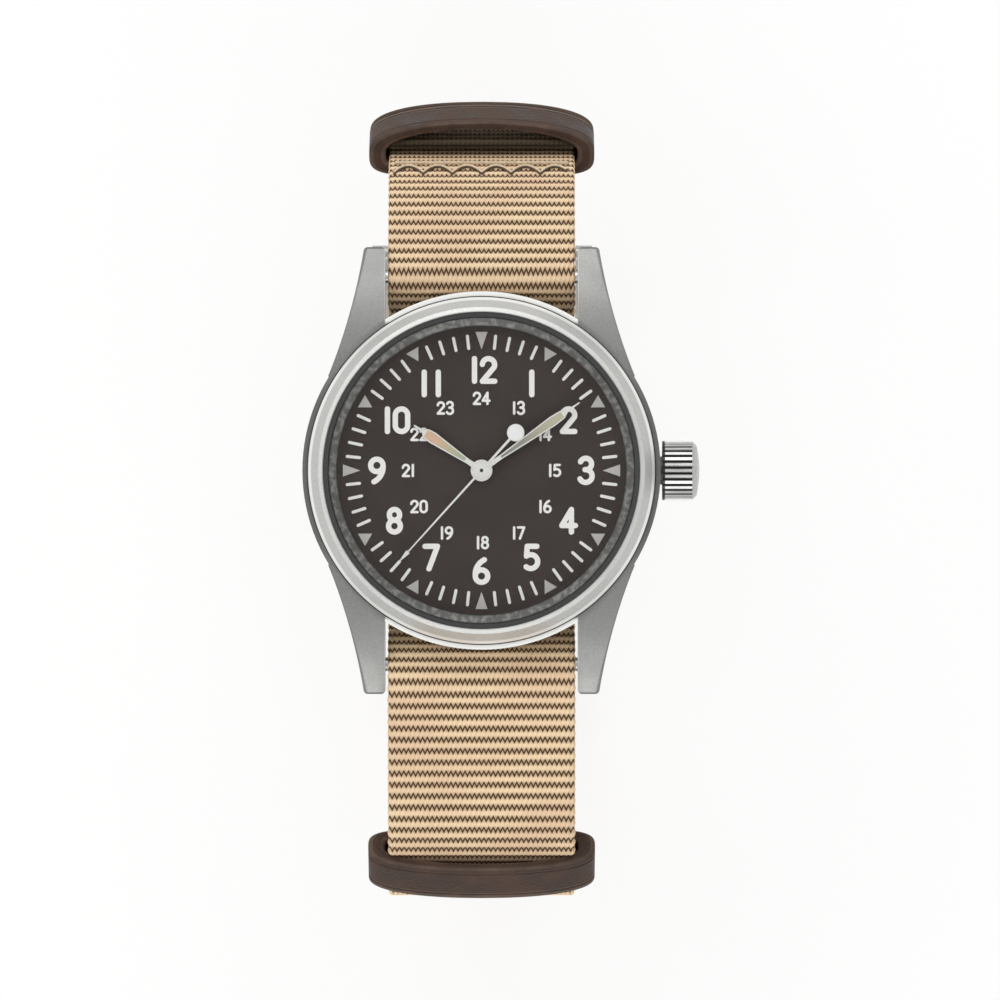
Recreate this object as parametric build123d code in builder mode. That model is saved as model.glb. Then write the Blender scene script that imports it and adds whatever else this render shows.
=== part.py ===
from build123d import *
import os
from math import asin, atan2, cos, degrees, hypot, pi, radians, sin, sqrt, tan

# Field watch with a hand-wound movement, standing on its closed strap loop, dial up.
# +Z leaves the dial, +Y points to 12 o'clock, +X to the crown. The origin is on the strap's
# flat underside, straight below the dial's centre. Millimetres.

# Driving dimensions: case
case_diameter = 38.0
lug_to_lug = 47.5
lug_gap = 20.46
case_flank_bottom = 3.9
case_flank_top = 6.2
back_height = 1.2
back_plate = 0.8
back_face_radius = 15.2
back_neck_height = 0.7
back_neck_radius = 15.2
back_neck_wall = 0.6
back_edge_radius = 16.4
case_base_radius = 16.9
bezel_diameter = 37.0
bezel_opening = 33.6
bezel_height = 2.2
bezel_land = 0.5
bezel_lip = 0.1
case_neck_height = 0.8
case_neck_wall = 0.65
crystal_thickness = 1.3
crystal_dome = 1.4
crystal_edge = 1.0
crystal_seat_step = 0.9
crystal_gasket_wall = 0.5
rehaut_outer_radius = 16.6
rehaut_top_radius = 16.2
rehaut_bottom_radius = 15.3
rehaut_height = 0.9
dial_radius = 16.0
dial_thickness = 0.4
dial_level = 6.1
movement_bore = 14.25
gasket_section = 0.3
fit_clearance = 0.05
running_clearance = 0.025
slip_gap = 0.12
overrun = 1.0

# Driving dimensions: crown
crown_radius = 3.15
crown_length = 3.65
crown_chamfer = 0.5
crown_dome = 0.3
crown_gap = 0.2
crown_flutes = 30
crown_flute_radius = 0.24
crown_recess_radius = 2.2
crown_recess_depth = 1.6
crown_tube_radius = 1.5
crown_tube_wall = 0.35
crown_tube_reach = 1.0
stem_level = 3.4
stem_radius = 0.6

# Driving dimensions: strap
strap_width = 20.0
strap_thickness = 1.15
layer_gap = 0.13
loop_height = 47.0
loop_reach_12 = 35.9
loop_reach_6 = 45.07
bar_radius = 0.75
bar_tip_radius = 0.45
bar_tip_length = 1.5
bar_reach = 20.6
bar_level = 2.2
rise_angle = 50.0
fall_angle = 33.0
crest_angle = 36.0
keeper_length = 6.0
keeper_width = 24.2
leather_thickness = 0.9
keeper_bow = 0.8
keeper_end_inset = 2.1
stitch_hole_pitch = 7.0
strap_hole_radius = 0.9

# Driving dimensions: movement
movement_radius = 12.8
movement_level = 5.6
plate_thickness = 1.4
bridge_depth = 3.05
bridge_thickness = 0.6
mobile_gap = 0.1
wheel_thickness = 0.12
arbor_radius = 0.13

back_z = loop_height
dial_top_z = back_z + dial_level
case_radius = case_diameter / 2
bar_z = back_z + bar_level
stem_z = back_z + stem_level
movement_top_z = back_z + movement_level
half_strap = strap_width / 2

os.makedirs("parts", exist_ok=True)


def level(depth):
    """Height of a plane that lies this far under the movement's dial side."""
    return movement_top_z - depth


def finish_part(builder, name):
    """Label a finished piece and write its STEP file."""
    builder.part.label = name
    export_step(builder.part, f"parts/{name}.step")


def disc(radius, low, high, centre=(0, 0), hole=0, mode=Mode.ADD):
    """A round plate or ring between two heights, in the open part."""
    with BuildSketch(Plane.XY.offset(low)) as face:
        with Locations(centre):
            Circle(radius)
            if hole:
                Circle(hole, mode=Mode.SUBTRACT)
    extrude(face.sketch, amount=high - low, mode=mode)


def turned(points, centre=(0, 0), mode=Mode.ADD):
    """A turned piece from its half section, a closed row of (radius, height) corners."""
    x, y = centre
    half_plane = Plane(origin=(x, y, 0), x_dir=(1, 0, 0), z_dir=(0, -1, 0))
    with BuildSketch(half_plane) as section:
        with BuildLine():
            Polyline(*points, close=True)
        make_face()
    revolve(section.sketch, axis=Axis((x, y, 0), (0, 0, 1)), mode=mode)


def rod(radius, start, end, height, y=0, hole=0, mode=Mode.ADD):
    """A round rod along X between two places."""
    with BuildSketch(Plane.YZ.offset(start)) as face:
        with Locations((y, height)):
            Circle(radius)
            if hole:
                Circle(hole, mode=Mode.SUBTRACT)
    extrude(face.sketch, amount=end - start, mode=mode)


addendum_share = 0.9
dedendum_share = 1.2


def tooth_corners(teeth, module, centre, phase, tip_share=0.3, root_share=0.62):
    """Corners of a toothed wheel's outline: flat tips, straight flanks, round pitch."""
    x, y = centre
    tip = module * (teeth / 2 + addendum_share)
    root = module * (teeth / 2 - dedendum_share)
    step = 360 / teeth
    corners = []
    for tooth in range(teeth):
        middle = phase + tooth * step
        for side, radius, share in ((-1, root, root_share), (-1, tip, tip_share),
                                    (1, tip, tip_share), (1, root, root_share)):
            turn = radians(middle + side * share * step / 2)
            corners.append((x + radius * cos(turn), y + radius * sin(turn)))
    return corners


def gear(teeth, module, low, high, centre=(0, 0), phase=0, hole=0, spokes=0):
    """A toothed wheel in the open part, with round windows between its spokes."""
    with BuildSketch(Plane.XY.offset(low)) as face:
        with BuildLine():
            Polyline(*tooth_corners(teeth, module, centre, phase), close=True)
        make_face()
        with Locations(centre):
            if hole:
                Circle(hole, mode=Mode.SUBTRACT)
            if spokes:
                pitch = module * teeth / 2
                with PolarLocations(pitch * window_circle_share, spokes):
                    Circle(pitch * window_share, mode=Mode.SUBTRACT)
    extrude(face.sketch, amount=high - low)


window_circle_share = 0.55
window_share = 0.24


def arbor(low, high, centre=(0, 0), radius=arbor_radius):
    """A plain pivot arbor in the open part."""
    disc(radius, low, high, centre)


# Case middle with its four lugs
lug_tip = lug_to_lug / 2
lug_inner = lug_gap / 2
lug_tip_width = 2.25
lug_root_y = 9.2
lug_root_x = 16.6
lug_waist_y = 17.4
lug_waist_x = 13.8
lug_overhang = 0.5
lug_far = lug_to_lug / 2 + lug_overhang
lug_far_top = 2.94
lug_far_bottom = 1.02
lug_belly_y = 21.5
lug_belly_z = 0.35
lug_heel_y = 12.0
lug_heel_z = 1.5
lug_shoulder_y = 10.0
lug_crest_y = 17.6
lug_crest_z = 5.5
lug_round = 0.45
neck_outer = bezel_opening / 2 + case_neck_wall - slip_gap
rehaut_seat = rehaut_outer_radius + fit_clearance
case_top_z = back_z + case_flank_top
back_seat_z = back_z + back_height
neck_top_z = case_top_z + case_neck_height
dial_seat_z = dial_top_z - dial_thickness
bore_floor_z = back_seat_z + back_neck_height

with BuildPart() as case_middle:
    turned([
        (back_neck_radius + fit_clearance, back_seat_z),
        (case_base_radius, back_seat_z),
        (case_radius, back_z + case_flank_bottom),
        (case_radius, case_top_z),
        (neck_outer, case_top_z),
        (neck_outer, neck_top_z),
        (rehaut_seat, neck_top_z),
        (rehaut_seat, dial_top_z),
        (dial_radius + fit_clearance, dial_top_z),
        (dial_radius + fit_clearance, dial_seat_z),
        (movement_bore, dial_seat_z),
        (movement_bore, bore_floor_z),
        (back_neck_radius + fit_clearance, bore_floor_z),
    ])
    with BuildSketch(Plane.YZ.offset(lug_inner)) as lug_side:
        with BuildLine():
            ThreePointArc((lug_shoulder_y, case_top_z), (lug_crest_y, back_z + lug_crest_z),
                          (lug_far, back_z + lug_far_top))
            Polyline((lug_far, back_z + lug_far_top), (lug_far, back_z + lug_far_bottom),
                     (lug_belly_y, back_z + lug_belly_z), (lug_heel_y, back_z + lug_heel_z),
                     (lug_shoulder_y, back_z + lug_heel_z), (lug_shoulder_y, case_top_z))
        make_face()
    with BuildSketch(Plane.XY.offset(back_z)) as lug_plan:
        with BuildLine():
            ThreePointArc((lug_inner + lug_tip_width, lug_tip), (lug_waist_x, lug_waist_y),
                          (lug_root_x, lug_root_y))
            Polyline((lug_root_x, lug_root_y), (lug_inner, lug_root_y), (lug_inner, lug_tip),
                     (lug_inner + lug_tip_width, lug_tip))
        make_face()
        fillet(lug_plan.vertices().group_by(Axis.Y)[-1], radius=lug_round)
    side_block = extrude(lug_side.sketch, amount=lug_root_x, mode=Mode.PRIVATE)
    plan_block = extrude(lug_plan.sketch, amount=case_flank_top, mode=Mode.PRIVATE)
    lug = side_block & plan_block
    add(lug)
    add(lug.mirror(Plane.XZ))
    add(lug.mirror(Plane.YZ))
    add(lug.mirror(Plane.XZ).mirror(Plane.YZ))
    disc(back_neck_radius + fit_clearance, back_z - overrun, bore_floor_z, mode=Mode.SUBTRACT)
    disc(movement_bore, bore_floor_z, dial_seat_z, mode=Mode.SUBTRACT)
    disc(dial_radius + fit_clearance, dial_seat_z, dial_top_z, mode=Mode.SUBTRACT)
    disc(rehaut_seat, dial_top_z, neck_top_z, mode=Mode.SUBTRACT)
    for side in (1, -1):
        rod(bar_tip_radius + running_clearance, -case_radius, case_radius, bar_z,
            y=side * bar_reach, mode=Mode.SUBTRACT)
    rod(crown_tube_radius, movement_bore - overrun, case_radius + overrun, stem_z,
        mode=Mode.SUBTRACT)
finish_part(case_middle, "case_middle")

bezel_radius = bezel_diameter / 2
bezel_bore = bezel_opening / 2
bezel_top_z = case_top_z + bezel_height
with BuildPart() as bezel:
    turned([
        (neck_outer + fit_clearance, case_top_z),
        (bezel_radius, case_top_z),
        (bezel_radius, case_top_z + bezel_land),
        (bezel_bore + bezel_land, bezel_top_z - bezel_lip),
        (bezel_bore + bezel_lip, bezel_top_z),
        (bezel_bore, bezel_top_z - bezel_lip),
        (bezel_bore, neck_top_z + fit_clearance),
        (neck_outer + fit_clearance, neck_top_z + fit_clearance),
    ])
finish_part(bezel, "bezel")

crystal_seat_z = case_top_z + crystal_seat_step
crystal_radius = bezel_bore - crystal_gasket_wall
crystal_edge_z = crystal_seat_z + crystal_edge
crystal_apex_z = crystal_edge_z + crystal_dome

with BuildPart() as crystal:
    with BuildSketch(Plane.XZ) as section:
        with BuildLine():
            TangentArc((0, crystal_apex_z), (crystal_radius, crystal_edge_z), tangent=(1, 0))
            Polyline((crystal_radius, crystal_edge_z), (crystal_radius, crystal_seat_z),
                     (crystal_radius - crystal_gasket_wall, crystal_seat_z))
            TangentArc((0, crystal_apex_z - crystal_thickness),
                       (crystal_radius - crystal_gasket_wall, crystal_seat_z), tangent=(1, 0))
            Line((0, crystal_apex_z - crystal_thickness), (0, crystal_apex_z))
        make_face()
    revolve(axis=Axis.Z)
finish_part(crystal, "crystal")

with BuildPart() as crystal_gasket:
    disc(bezel_bore, crystal_seat_z, crystal_edge_z, hole=crystal_radius)
finish_part(crystal_gasket, "crystal_gasket")

with BuildPart() as rehaut:
    turned([
        (rehaut_bottom_radius, dial_top_z),
        (rehaut_outer_radius, dial_top_z),
        (rehaut_outer_radius, dial_top_z + rehaut_height),
        (rehaut_top_radius, dial_top_z + rehaut_height),
    ])
finish_part(rehaut, "flange_ring")

with BuildPart() as case_back:
    turned([
        (0, back_z),
        (back_face_radius, back_z),
        (back_edge_radius, back_seat_z),
        (back_neck_radius, back_seat_z),
        (back_neck_radius, bore_floor_z),
        (back_neck_radius - back_neck_wall, bore_floor_z),
        (back_neck_radius - back_neck_wall, back_z + back_plate),
        (0, back_z + back_plate),
    ])
    turned([
        (back_edge_radius - 3 * gasket_section, back_seat_z),
        (back_edge_radius - 2 * gasket_section, back_seat_z),
        (back_edge_radius - 2 * gasket_section, back_seat_z - gasket_section),
        (back_edge_radius - 3 * gasket_section, back_seat_z - gasket_section),
    ], mode=Mode.SUBTRACT)
finish_part(case_back, "case_back")

with BuildPart() as case_back_gasket:
    disc(back_edge_radius - 2 * gasket_section, back_seat_z - gasket_section, back_seat_z,
         hole=back_edge_radius - 3 * gasket_section)
finish_part(case_back_gasket, "case_back_gasket")

# Dial, markers
hand_hole = 1.0
window_foot_radius = 0.4
foot_circle = 11.6
foot_length = 0.9

with BuildPart() as dial:
    disc(dial_radius, dial_seat_z, dial_top_z, hole=hand_hole)
    for angle in (45, 225):
        disc(window_foot_radius, dial_seat_z - foot_length, dial_seat_z,
             (foot_circle * cos(radians(angle)), foot_circle * sin(radians(angle))))
finish_part(dial, "dial")

marker_height = 0.05
minute_inner = 12.85
minute_outer = 14.48
minute_width = 0.32
triangle_base_radius = 14.7
large_triangle = (1.28, 1.85)
small_triangle = (1.5, 1.32)
hour_digit_height = 2.98
hour_stroke = 0.57
hour_ring = 10.66
quarter_ring = 11.1
inner_digit_height = 1.47
inner_stroke = 0.26
inner_ring = 7.65

# Strokes of the ten digits in shares of the digit's height, from the digit's middle
digit_stroke_shares = {
    "0": [((-0.22, 0.18), (0, 0.4), (0.22, 0.18)), ((0.22, 0.18), (0.22, -0.18)),
          ((0.22, -0.18), (0, -0.4), (-0.22, -0.18)), ((-0.22, -0.18), (-0.22, 0.18))],
    "1": [((0, 0.4), (0, -0.4))],
    "2": [((-0.22, 0.2), (0.03, 0.4), (0.2, 0.1)), ((0.2, 0.1), (-0.22, -0.4)),
          ((-0.22, -0.4), (0.22, -0.4))],
    "3": [((-0.2, 0.31), (0.19, 0.22), (-0.04, 0.03)), ((-0.04, 0.03), (0.21, -0.2), (-0.22, -0.3))],
    "4": [((0.1, -0.4), (0.1, 0.4)), ((0.1, 0.4), (-0.24, -0.17)), ((-0.24, -0.17), (0.24, -0.17))],
    "5": [((0.18, 0.4), (-0.16, 0.4)), ((-0.16, 0.4), (-0.19, 0.05)),
          ((-0.19, 0.05), (0.21, -0.14), (-0.2, -0.33))],
    "6": [((-0.22, -0.18), (0, 0.04), (0.22, -0.18)), ((0.22, -0.18), (0, -0.4), (-0.22, -0.18)),
          ((-0.22, -0.18), (-0.15, 0.16), (0.1, 0.4))],
    "7": [((-0.22, 0.4), (0.22, 0.4)), ((0.22, 0.4), (-0.08, -0.4))],
    "8": [((-0.18, 0.21), (0, 0.4), (0.18, 0.21)), ((0.18, 0.21), (0, 0.02), (-0.18, 0.21)),
          ((-0.21, -0.19), (0, 0.02), (0.21, -0.19)), ((0.21, -0.19), (0, -0.4), (-0.21, -0.19))],
    "9": [((0.22, 0.18), (0, -0.04), (-0.22, 0.18)), ((-0.22, 0.18), (0, 0.4), (0.22, 0.18)),
          ((0.22, 0.18), (0.15, -0.16), (-0.1, -0.4))],
}
digit_pitch_share = 0.66
one_pitch_share = 0.5


def numeral(text, centre, height, stroke):
    """Strokes of one numeral in the open sketch."""
    pitch = height * (one_pitch_share if "1" in text else digit_pitch_share)
    for place, digit in enumerate(text):
        shift = centre[0] + (place - (len(text) - 1) / 2) * pitch
        for shares in digit_stroke_shares[digit]:
            spots = [(shift + x * height, centre[1] + y * height) for x, y in shares]
            with BuildLine() as path:
                if len(spots) == 3:
                    ThreePointArc(*spots)
                else:
                    Line(*spots)
            trace(path.line, line_width=stroke)
            with Locations(spots[0], spots[-1]):
                Circle(stroke / 2)


with BuildPart() as dial_markers:
    with BuildSketch(Plane.XY.offset(dial_top_z)) as print_face:
        for minute in range(60):
            if minute % 5:
                with PolarLocations((minute_inner + minute_outer) / 2, 1, start_angle=90 - 6 * minute):
                    SlotOverall(minute_outer - minute_inner, minute_width)
        for hour in range(12):
            base, tall = small_triangle if hour % 3 else large_triangle
            with PolarLocations(triangle_base_radius, 1, start_angle=90 - 30 * hour):
                Polygon((0, -base / 2), (0, base / 2), (-tall, 0), align=None)
        for hour in range(1, 13):
            turn = radians(90 - 30 * hour)
            ring = hour_ring if hour % 6 == 0 or hour % 3 else quarter_ring
            numeral(str(hour), (ring * cos(turn), ring * sin(turn)), hour_digit_height, hour_stroke)
            numeral(str(hour + 12), (inner_ring * cos(turn), inner_ring * sin(turn)),
                    inner_digit_height, inner_stroke)
    extrude(amount=marker_height)
finish_part(dial_markers, "dial_markers")

# Hands
hand_thickness = 0.15
hour_hand_gap = 0.25
hand_pitch = 0.32
hour_pipe_radius = 0.8
cannon_radius = 0.55
hour_hub = 1.15
minute_hub = 0.95
seconds_hub = 0.65
hour_hand_z = dial_top_z + hour_hand_gap
minute_hand_z = hour_hand_z + hand_pitch
seconds_hand_z = minute_hand_z + hand_pitch
hour_hand_angle = 90 - 303.8
minute_hand_angle = 90 - 55.3
seconds_hand_angle = 90 - 222.1
hour_reach = 8.65
minute_reach = 12.7
seconds_reach = 13.2
lume_centre = 5.4
lume_radius = 0.93
# Outline of an hour or minute hand: share of its reach, then share of its widest half width
hand_outline_shares = ((0, 0.55), (0.2, 0.42), (0.72, 1.0), (0.82, 0.85), (0.87, 0.25), (0.99, 0.13))


def sword(reach, widest, hub, low, bore, turn):
    """A hand with a swelling blade, a narrow tip and a round hub."""
    half_width = widest / 2
    upper = [(reach * along, half_width * across) for along, across in hand_outline_shares]
    lower = [(x, -y) for x, y in reversed(upper)]
    with BuildSketch(Plane.XY.offset(low).rotated((0, 0, turn))) as blade:
        with BuildLine():
            Polyline(*upper, (reach, 0), *lower, close=True)
        make_face()
        Circle(hub)
        Circle(bore, mode=Mode.SUBTRACT)
    extrude(blade.sketch, amount=hand_thickness)


hour_hand_width = 1.25
minute_hand_width = 1.1
seconds_width = 0.28
seconds_tip_width = 0.5
seconds_tip_length = 1.6

with BuildPart() as hour_hand:
    sword(hour_reach, hour_hand_width, hour_hub, hour_hand_z, hour_pipe_radius, hour_hand_angle)
finish_part(hour_hand, "hour_hand")

with BuildPart() as minute_hand:
    sword(minute_reach, minute_hand_width, minute_hub, minute_hand_z, cannon_radius, minute_hand_angle)
finish_part(minute_hand, "minute_hand")

with BuildPart() as seconds_hand:
    with BuildSketch(Plane.XY.offset(seconds_hand_z).rotated((0, 0, seconds_hand_angle))) as needle:
        with BuildLine():
            Polyline((-lume_centre, -seconds_width / 2),
                     (seconds_reach - seconds_tip_length, -seconds_width / 4),
                     (seconds_reach - seconds_tip_length, -seconds_tip_width / 2),
                     (seconds_reach, 0),
                     (seconds_reach - seconds_tip_length, seconds_tip_width / 2),
                     (seconds_reach - seconds_tip_length, seconds_width / 4),
                     (-lume_centre, seconds_width / 2), close=True)
        make_face()
        Circle(seconds_hub)
        with Locations((-lume_centre, 0)):
            Circle(lume_radius)
        Circle(arbor_radius, mode=Mode.SUBTRACT)
    extrude(amount=hand_thickness)
finish_part(seconds_hand, "seconds_hand")

# Gear train: teeth, modules and places
barrel_teeth = 72
centre_pinion_leaves = 12
barrel_module = 0.15
centre_teeth = 80
third_pinion_leaves = 10
centre_module = 0.1
third_teeth = 75
fourth_pinion_leaves = 10
fourth_teeth = 84
escape_pinion_leaves = 7
escape_distance = 3.2
barrel_angle = 52.7
third_angle = 215.0
escape_angle = 280.0
balance_angle = -65.3
balance_distance = 8.14
barrel_distance = barrel_module * (barrel_teeth + centre_pinion_leaves) / 2
third_distance = centre_module * (centre_teeth + third_pinion_leaves) / 2
third_module = 2 * third_distance / (third_teeth + fourth_pinion_leaves)
fourth_module = 2 * escape_distance / (fourth_teeth + escape_pinion_leaves)


def polar(distance, angle, origin=(0, 0)):
    """The plan place at a distance and angle from another place."""
    return (origin[0] + distance * cos(radians(angle)), origin[1] + distance * sin(radians(angle)))


barrel_at = polar(barrel_distance, barrel_angle)
third_at = polar(third_distance, third_angle)
escape_at = polar(escape_distance, escape_angle)
balance_at = polar(balance_distance, balance_angle)
pallet_span = hypot(balance_at[0] - escape_at[0], balance_at[1] - escape_at[1])
pallet_heading = degrees(atan2(balance_at[1] - escape_at[1], balance_at[0] - escape_at[0]))
escape_radius = 2.1
pallet_distance = 2.6
pallet_at = polar(pallet_distance, pallet_heading, escape_at)
minute_wheel_teeth = 36
minute_pinion_leaves = 10
cannon_leaves = 12
hour_teeth = 40
motion_module = 0.1
hour_module = motion_module * (minute_wheel_teeth + cannon_leaves) / (hour_teeth + minute_pinion_leaves)
motion_distance = motion_module * (minute_wheel_teeth + cannon_leaves) / 2
motion_angle = -20.0
motion_at = polar(motion_distance, motion_angle)


def mesh_phase(teeth, heading):
    """Turn of a wheel whose tooth gap faces a mate that lies at this heading."""
    return heading + 180 / teeth


# Depths below the dial side
motion_depth = 0.75
hour_wheel_top = 0.1
hour_wheel_low = 0.28
cannon_top = 0.36
cannon_low = 0.6
centre_wheel_top = plate_thickness + mobile_gap / 2
centre_wheel_low = centre_wheel_top + wheel_thickness
drum_top = centre_wheel_low + mobile_gap / 2
drum_low = 2.75
third_wheel_top = 2.3
third_wheel_low = third_wheel_top + wheel_thickness
escape_wheel_top = 2.54
escape_wheel_low = escape_wheel_top + wheel_thickness
fourth_wheel_top = 2.84
fourth_wheel_low = fourth_wheel_top + wheel_thickness
bridge_low = bridge_depth + bridge_thickness
ratchet_teeth = 39
crown_wheel_teeth = 25
winding_module = 0.2
ratchet_top = bridge_low + fit_clearance
ratchet_thickness = 0.3
ratchet_low = ratchet_top + ratchet_thickness
crown_wheel_x = 7.8
crown_wheel_at = (crown_wheel_x, 0)
winding_pinion_x = crown_wheel_x + winding_module * crown_wheel_teeth / 2
winding_pinion_width = 1.1

# Mainplate, bridges, jewels
jewel_radius = 0.45
jewel_thickness = 0.3
screw_radius = 0.45
screw_head_radius = 0.75
screw_head = 0.3
pillar_radius = 1.1
foot_inset = 1.3
balance_depth = 2.98

# Movement ring and dial-side plate
ring_gap = 0.04
ring_height = 2.6
stem_channel_width = 1.4
lever_room_reach = 1.2
lever_room_width = 3.0
stem_start = 7.6
pinion_pocket_start = 7.45
pinion_pocket_end = 11.05
pinion_pocket_half = 1.5
keyless_x = 7.2
keyless_half = 4.1
motion_recess_radius = 5.6

with BuildPart() as movement_ring:
    disc(movement_bore - ring_gap, level(ring_height), level(0), hole=movement_radius + ring_gap)
    rod(stem_channel_width / 2, movement_radius - overrun, movement_bore + overrun, stem_z,
        mode=Mode.SUBTRACT)
    with BuildSketch(Plane.XY.offset(stem_z)) as lever_room:
        with Locations((movement_radius, 0)):
            Rectangle(2 * lever_room_reach, lever_room_width)
    extrude(lever_room.sketch, amount=level(-overrun) - stem_z, mode=Mode.SUBTRACT)
finish_part(movement_ring, "movement_ring")

escape_pivots = [third_at, escape_at, balance_at, pallet_at]
centre_bore = 0.45
pillar_places = [polar(movement_radius - foot_inset, angle) for angle in (20, 85, 126, 175, 235, 342)]
foot_spread = 28.0
cock_feet = [polar(movement_radius - foot_inset, balance_angle + turn)
             for turn in (-foot_spread, foot_spread)]
pallet_foot_reach = 1.65
pallet_feet = [polar(pallet_foot_reach, pallet_heading + turn, pallet_at) for turn in (-90, 90)]

with BuildPart() as mainplate:
    disc(movement_radius, level(plate_thickness), level(0))
    for place in pillar_places:
        disc(pillar_radius, level(bridge_depth), level(plate_thickness), place)
    for place in cock_feet:
        disc(pillar_radius, level(bridge_low), level(plate_thickness), place)
    for place in pillar_places + cock_feet:
        disc(screw_radius, level(bridge_low) - overrun, level(plate_thickness / 2), place,
             mode=Mode.SUBTRACT)
    with BuildSketch(Plane.XY.offset(level(motion_depth))) as recess:
        Circle(motion_recess_radius)
        with Locations((keyless_x, 0)):
            Rectangle(movement_radius, 2 * keyless_half, align=(Align.MIN, Align.CENTER))
    extrude(recess.sketch, amount=motion_depth + overrun, mode=Mode.SUBTRACT)
    with BuildSketch(Plane.XY.offset(level(bridge_depth))) as pocket:
        with Locations((pinion_pocket_start, 0)):
            Rectangle(pinion_pocket_end - pinion_pocket_start, 2 * pinion_pocket_half,
                      align=(Align.MIN, Align.CENTER))
        with Locations((pinion_pocket_end, 0)):
            Rectangle(movement_radius, stem_channel_width, align=(Align.MIN, Align.CENTER))
    extrude(pocket.sketch, amount=bridge_depth + overrun, mode=Mode.SUBTRACT)
    for place in escape_pivots:
        disc(jewel_radius, level(plate_thickness), level(plate_thickness - jewel_thickness), place,
             mode=Mode.SUBTRACT)
    disc(centre_bore, level(plate_thickness) - overrun, level(0) + overrun, mode=Mode.SUBTRACT)
    for angle in (45, 225):
        disc(window_foot_radius + running_clearance, level(plate_thickness) - overrun, level(0) + overrun,
             polar(foot_circle, angle), mode=Mode.SUBTRACT)
finish_part(mainplate, "mainplate")

bridge_edge = movement_radius - slip_gap
split_line = 1.3
split_gap = 0.12
balance_room = 4.75
foot_clearing = (movement_radius - foot_inset) * sin(radians(foot_spread)) + pillar_radius + slip_gap
core_radius = 0.7
crown_slot_inner = winding_module * crown_wheel_teeth / 2 - 0.5 * stem_radius
crown_slot_outer = winding_module * (crown_wheel_teeth / 2 + addendum_share) + 2 * slip_gap
crown_slot_depth = 0.45
stem_depth = movement_level - stem_level
winding_pinion_teeth = 12


def bridge(low, high, start, along, room):
    """A bridge in the open part: the plate's disc on one side of the split line."""
    with BuildSketch(Plane.XY.offset(low)) as face:
        Circle(bridge_edge)
        with Locations(Location((0, 0, 0), (0, 0, barrel_angle)) * Location((start, 0, 0))):
            Rectangle(2 * movement_radius, 2 * movement_radius, align=along, mode=Mode.INTERSECT)
        with Locations(balance_at):
            Circle(balance_room, mode=Mode.SUBTRACT)
        with Locations(Location((0, 0, 0), (0, 0, balance_angle)) * Location((balance_distance, 0, 0))):
            Rectangle(balance_distance, 2 * room, align=(Align.MIN, Align.CENTER), mode=Mode.SUBTRACT)
    extrude(face.sketch, amount=high - low)


barrel_arbor_radius = 0.7
arbor_neck = 0.5

with BuildPart() as barrel_bridge:
    bridge(level(bridge_low), level(bridge_depth), split_line, (Align.MIN, Align.CENTER), foot_clearing)
    disc(barrel_arbor_radius + running_clearance, level(bridge_low), level(bridge_depth), barrel_at,
         mode=Mode.SUBTRACT)
    disc(crown_slot_outer, level(bridge_low), level(bridge_low - crown_slot_depth), crown_wheel_at,
         hole=crown_slot_inner, mode=Mode.SUBTRACT)
    with BuildSketch(Plane.XY.offset(level(bridge_low))) as window:
        with Locations((winding_pinion_x, 0)):
            Rectangle(winding_pinion_width + 2 * slip_gap, 2 * pinion_pocket_half)
    extrude(window.sketch, amount=bridge_thickness, mode=Mode.SUBTRACT)
    disc(screw_radius, level(bridge_low), level(bridge_depth), crown_wheel_at, mode=Mode.SUBTRACT)
    for place in pillar_places[:3] + pillar_places[5:]:
        disc(screw_radius, level(bridge_low), level(bridge_depth), place, mode=Mode.SUBTRACT)
finish_part(barrel_bridge, "barrel_bridge")

with BuildPart() as train_bridge:
    bridge(level(bridge_low), level(bridge_depth), split_line - split_gap, (Align.MAX, Align.CENTER),
           foot_clearing + pillar_radius)
    for place in ((0, 0), third_at, escape_at):
        disc(jewel_radius, level(bridge_low), level(bridge_depth), place, mode=Mode.SUBTRACT)
    for place in pillar_places[3:5]:
        disc(screw_radius, level(bridge_low), level(bridge_depth), place, mode=Mode.SUBTRACT)
finish_part(train_bridge, "train_bridge")

cock_thickness = 0.5
cock_top = bridge_low
cock_low = cock_top + cock_thickness

with BuildPart() as balance_cock:
    with BuildSketch(Plane.XY.offset(level(cock_low))) as outline:
        with BuildLine():
            Polyline(cock_feet[0], cock_feet[1], balance_at, close=True)
        make_face()
        with Locations(*cock_feet, balance_at):
            Circle(pillar_radius)
        with Locations(balance_at):
            Circle(jewel_radius, mode=Mode.SUBTRACT)
        with Locations(*cock_feet):
            Circle(screw_radius, mode=Mode.SUBTRACT)
    extrude(outline.sketch, amount=cock_thickness)
finish_part(balance_cock, "balance_cock")

pallet_bridge_depth = 2.72
pallet_bridge_thickness = 0.18
pallet_post = 0.35

with BuildPart() as pallet_bridge:
    with BuildSketch(Plane.XY.offset(level(pallet_bridge_depth + pallet_bridge_thickness))) as strip:
        with BuildLine() as spine:
            Line(*pallet_feet)
        trace(spine.line, line_width=2 * pallet_post)
        with Locations(*pallet_feet):
            Circle(pallet_post)
        with Locations(pallet_at):
            Circle(arbor_radius + running_clearance, mode=Mode.SUBTRACT)
    extrude(strip.sketch, amount=pallet_bridge_thickness)
    for place in pallet_feet:
        disc(pallet_post, level(pallet_bridge_depth), level(plate_thickness), place)
finish_part(pallet_bridge, "pallet_bridge")

with BuildPart() as jewels:
    for place in escape_pivots:
        disc(jewel_radius, level(plate_thickness), level(plate_thickness - jewel_thickness), place,
             hole=arbor_radius + running_clearance)
    for place in ((0, 0), third_at, escape_at):
        disc(jewel_radius, level(bridge_low), level(bridge_low - jewel_thickness), place,
             hole=arbor_radius + running_clearance)
    disc(jewel_radius, level(cock_low), level(cock_low - jewel_thickness), balance_at,
         hole=arbor_radius + running_clearance)
finish_part(jewels, "jewels")


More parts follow.
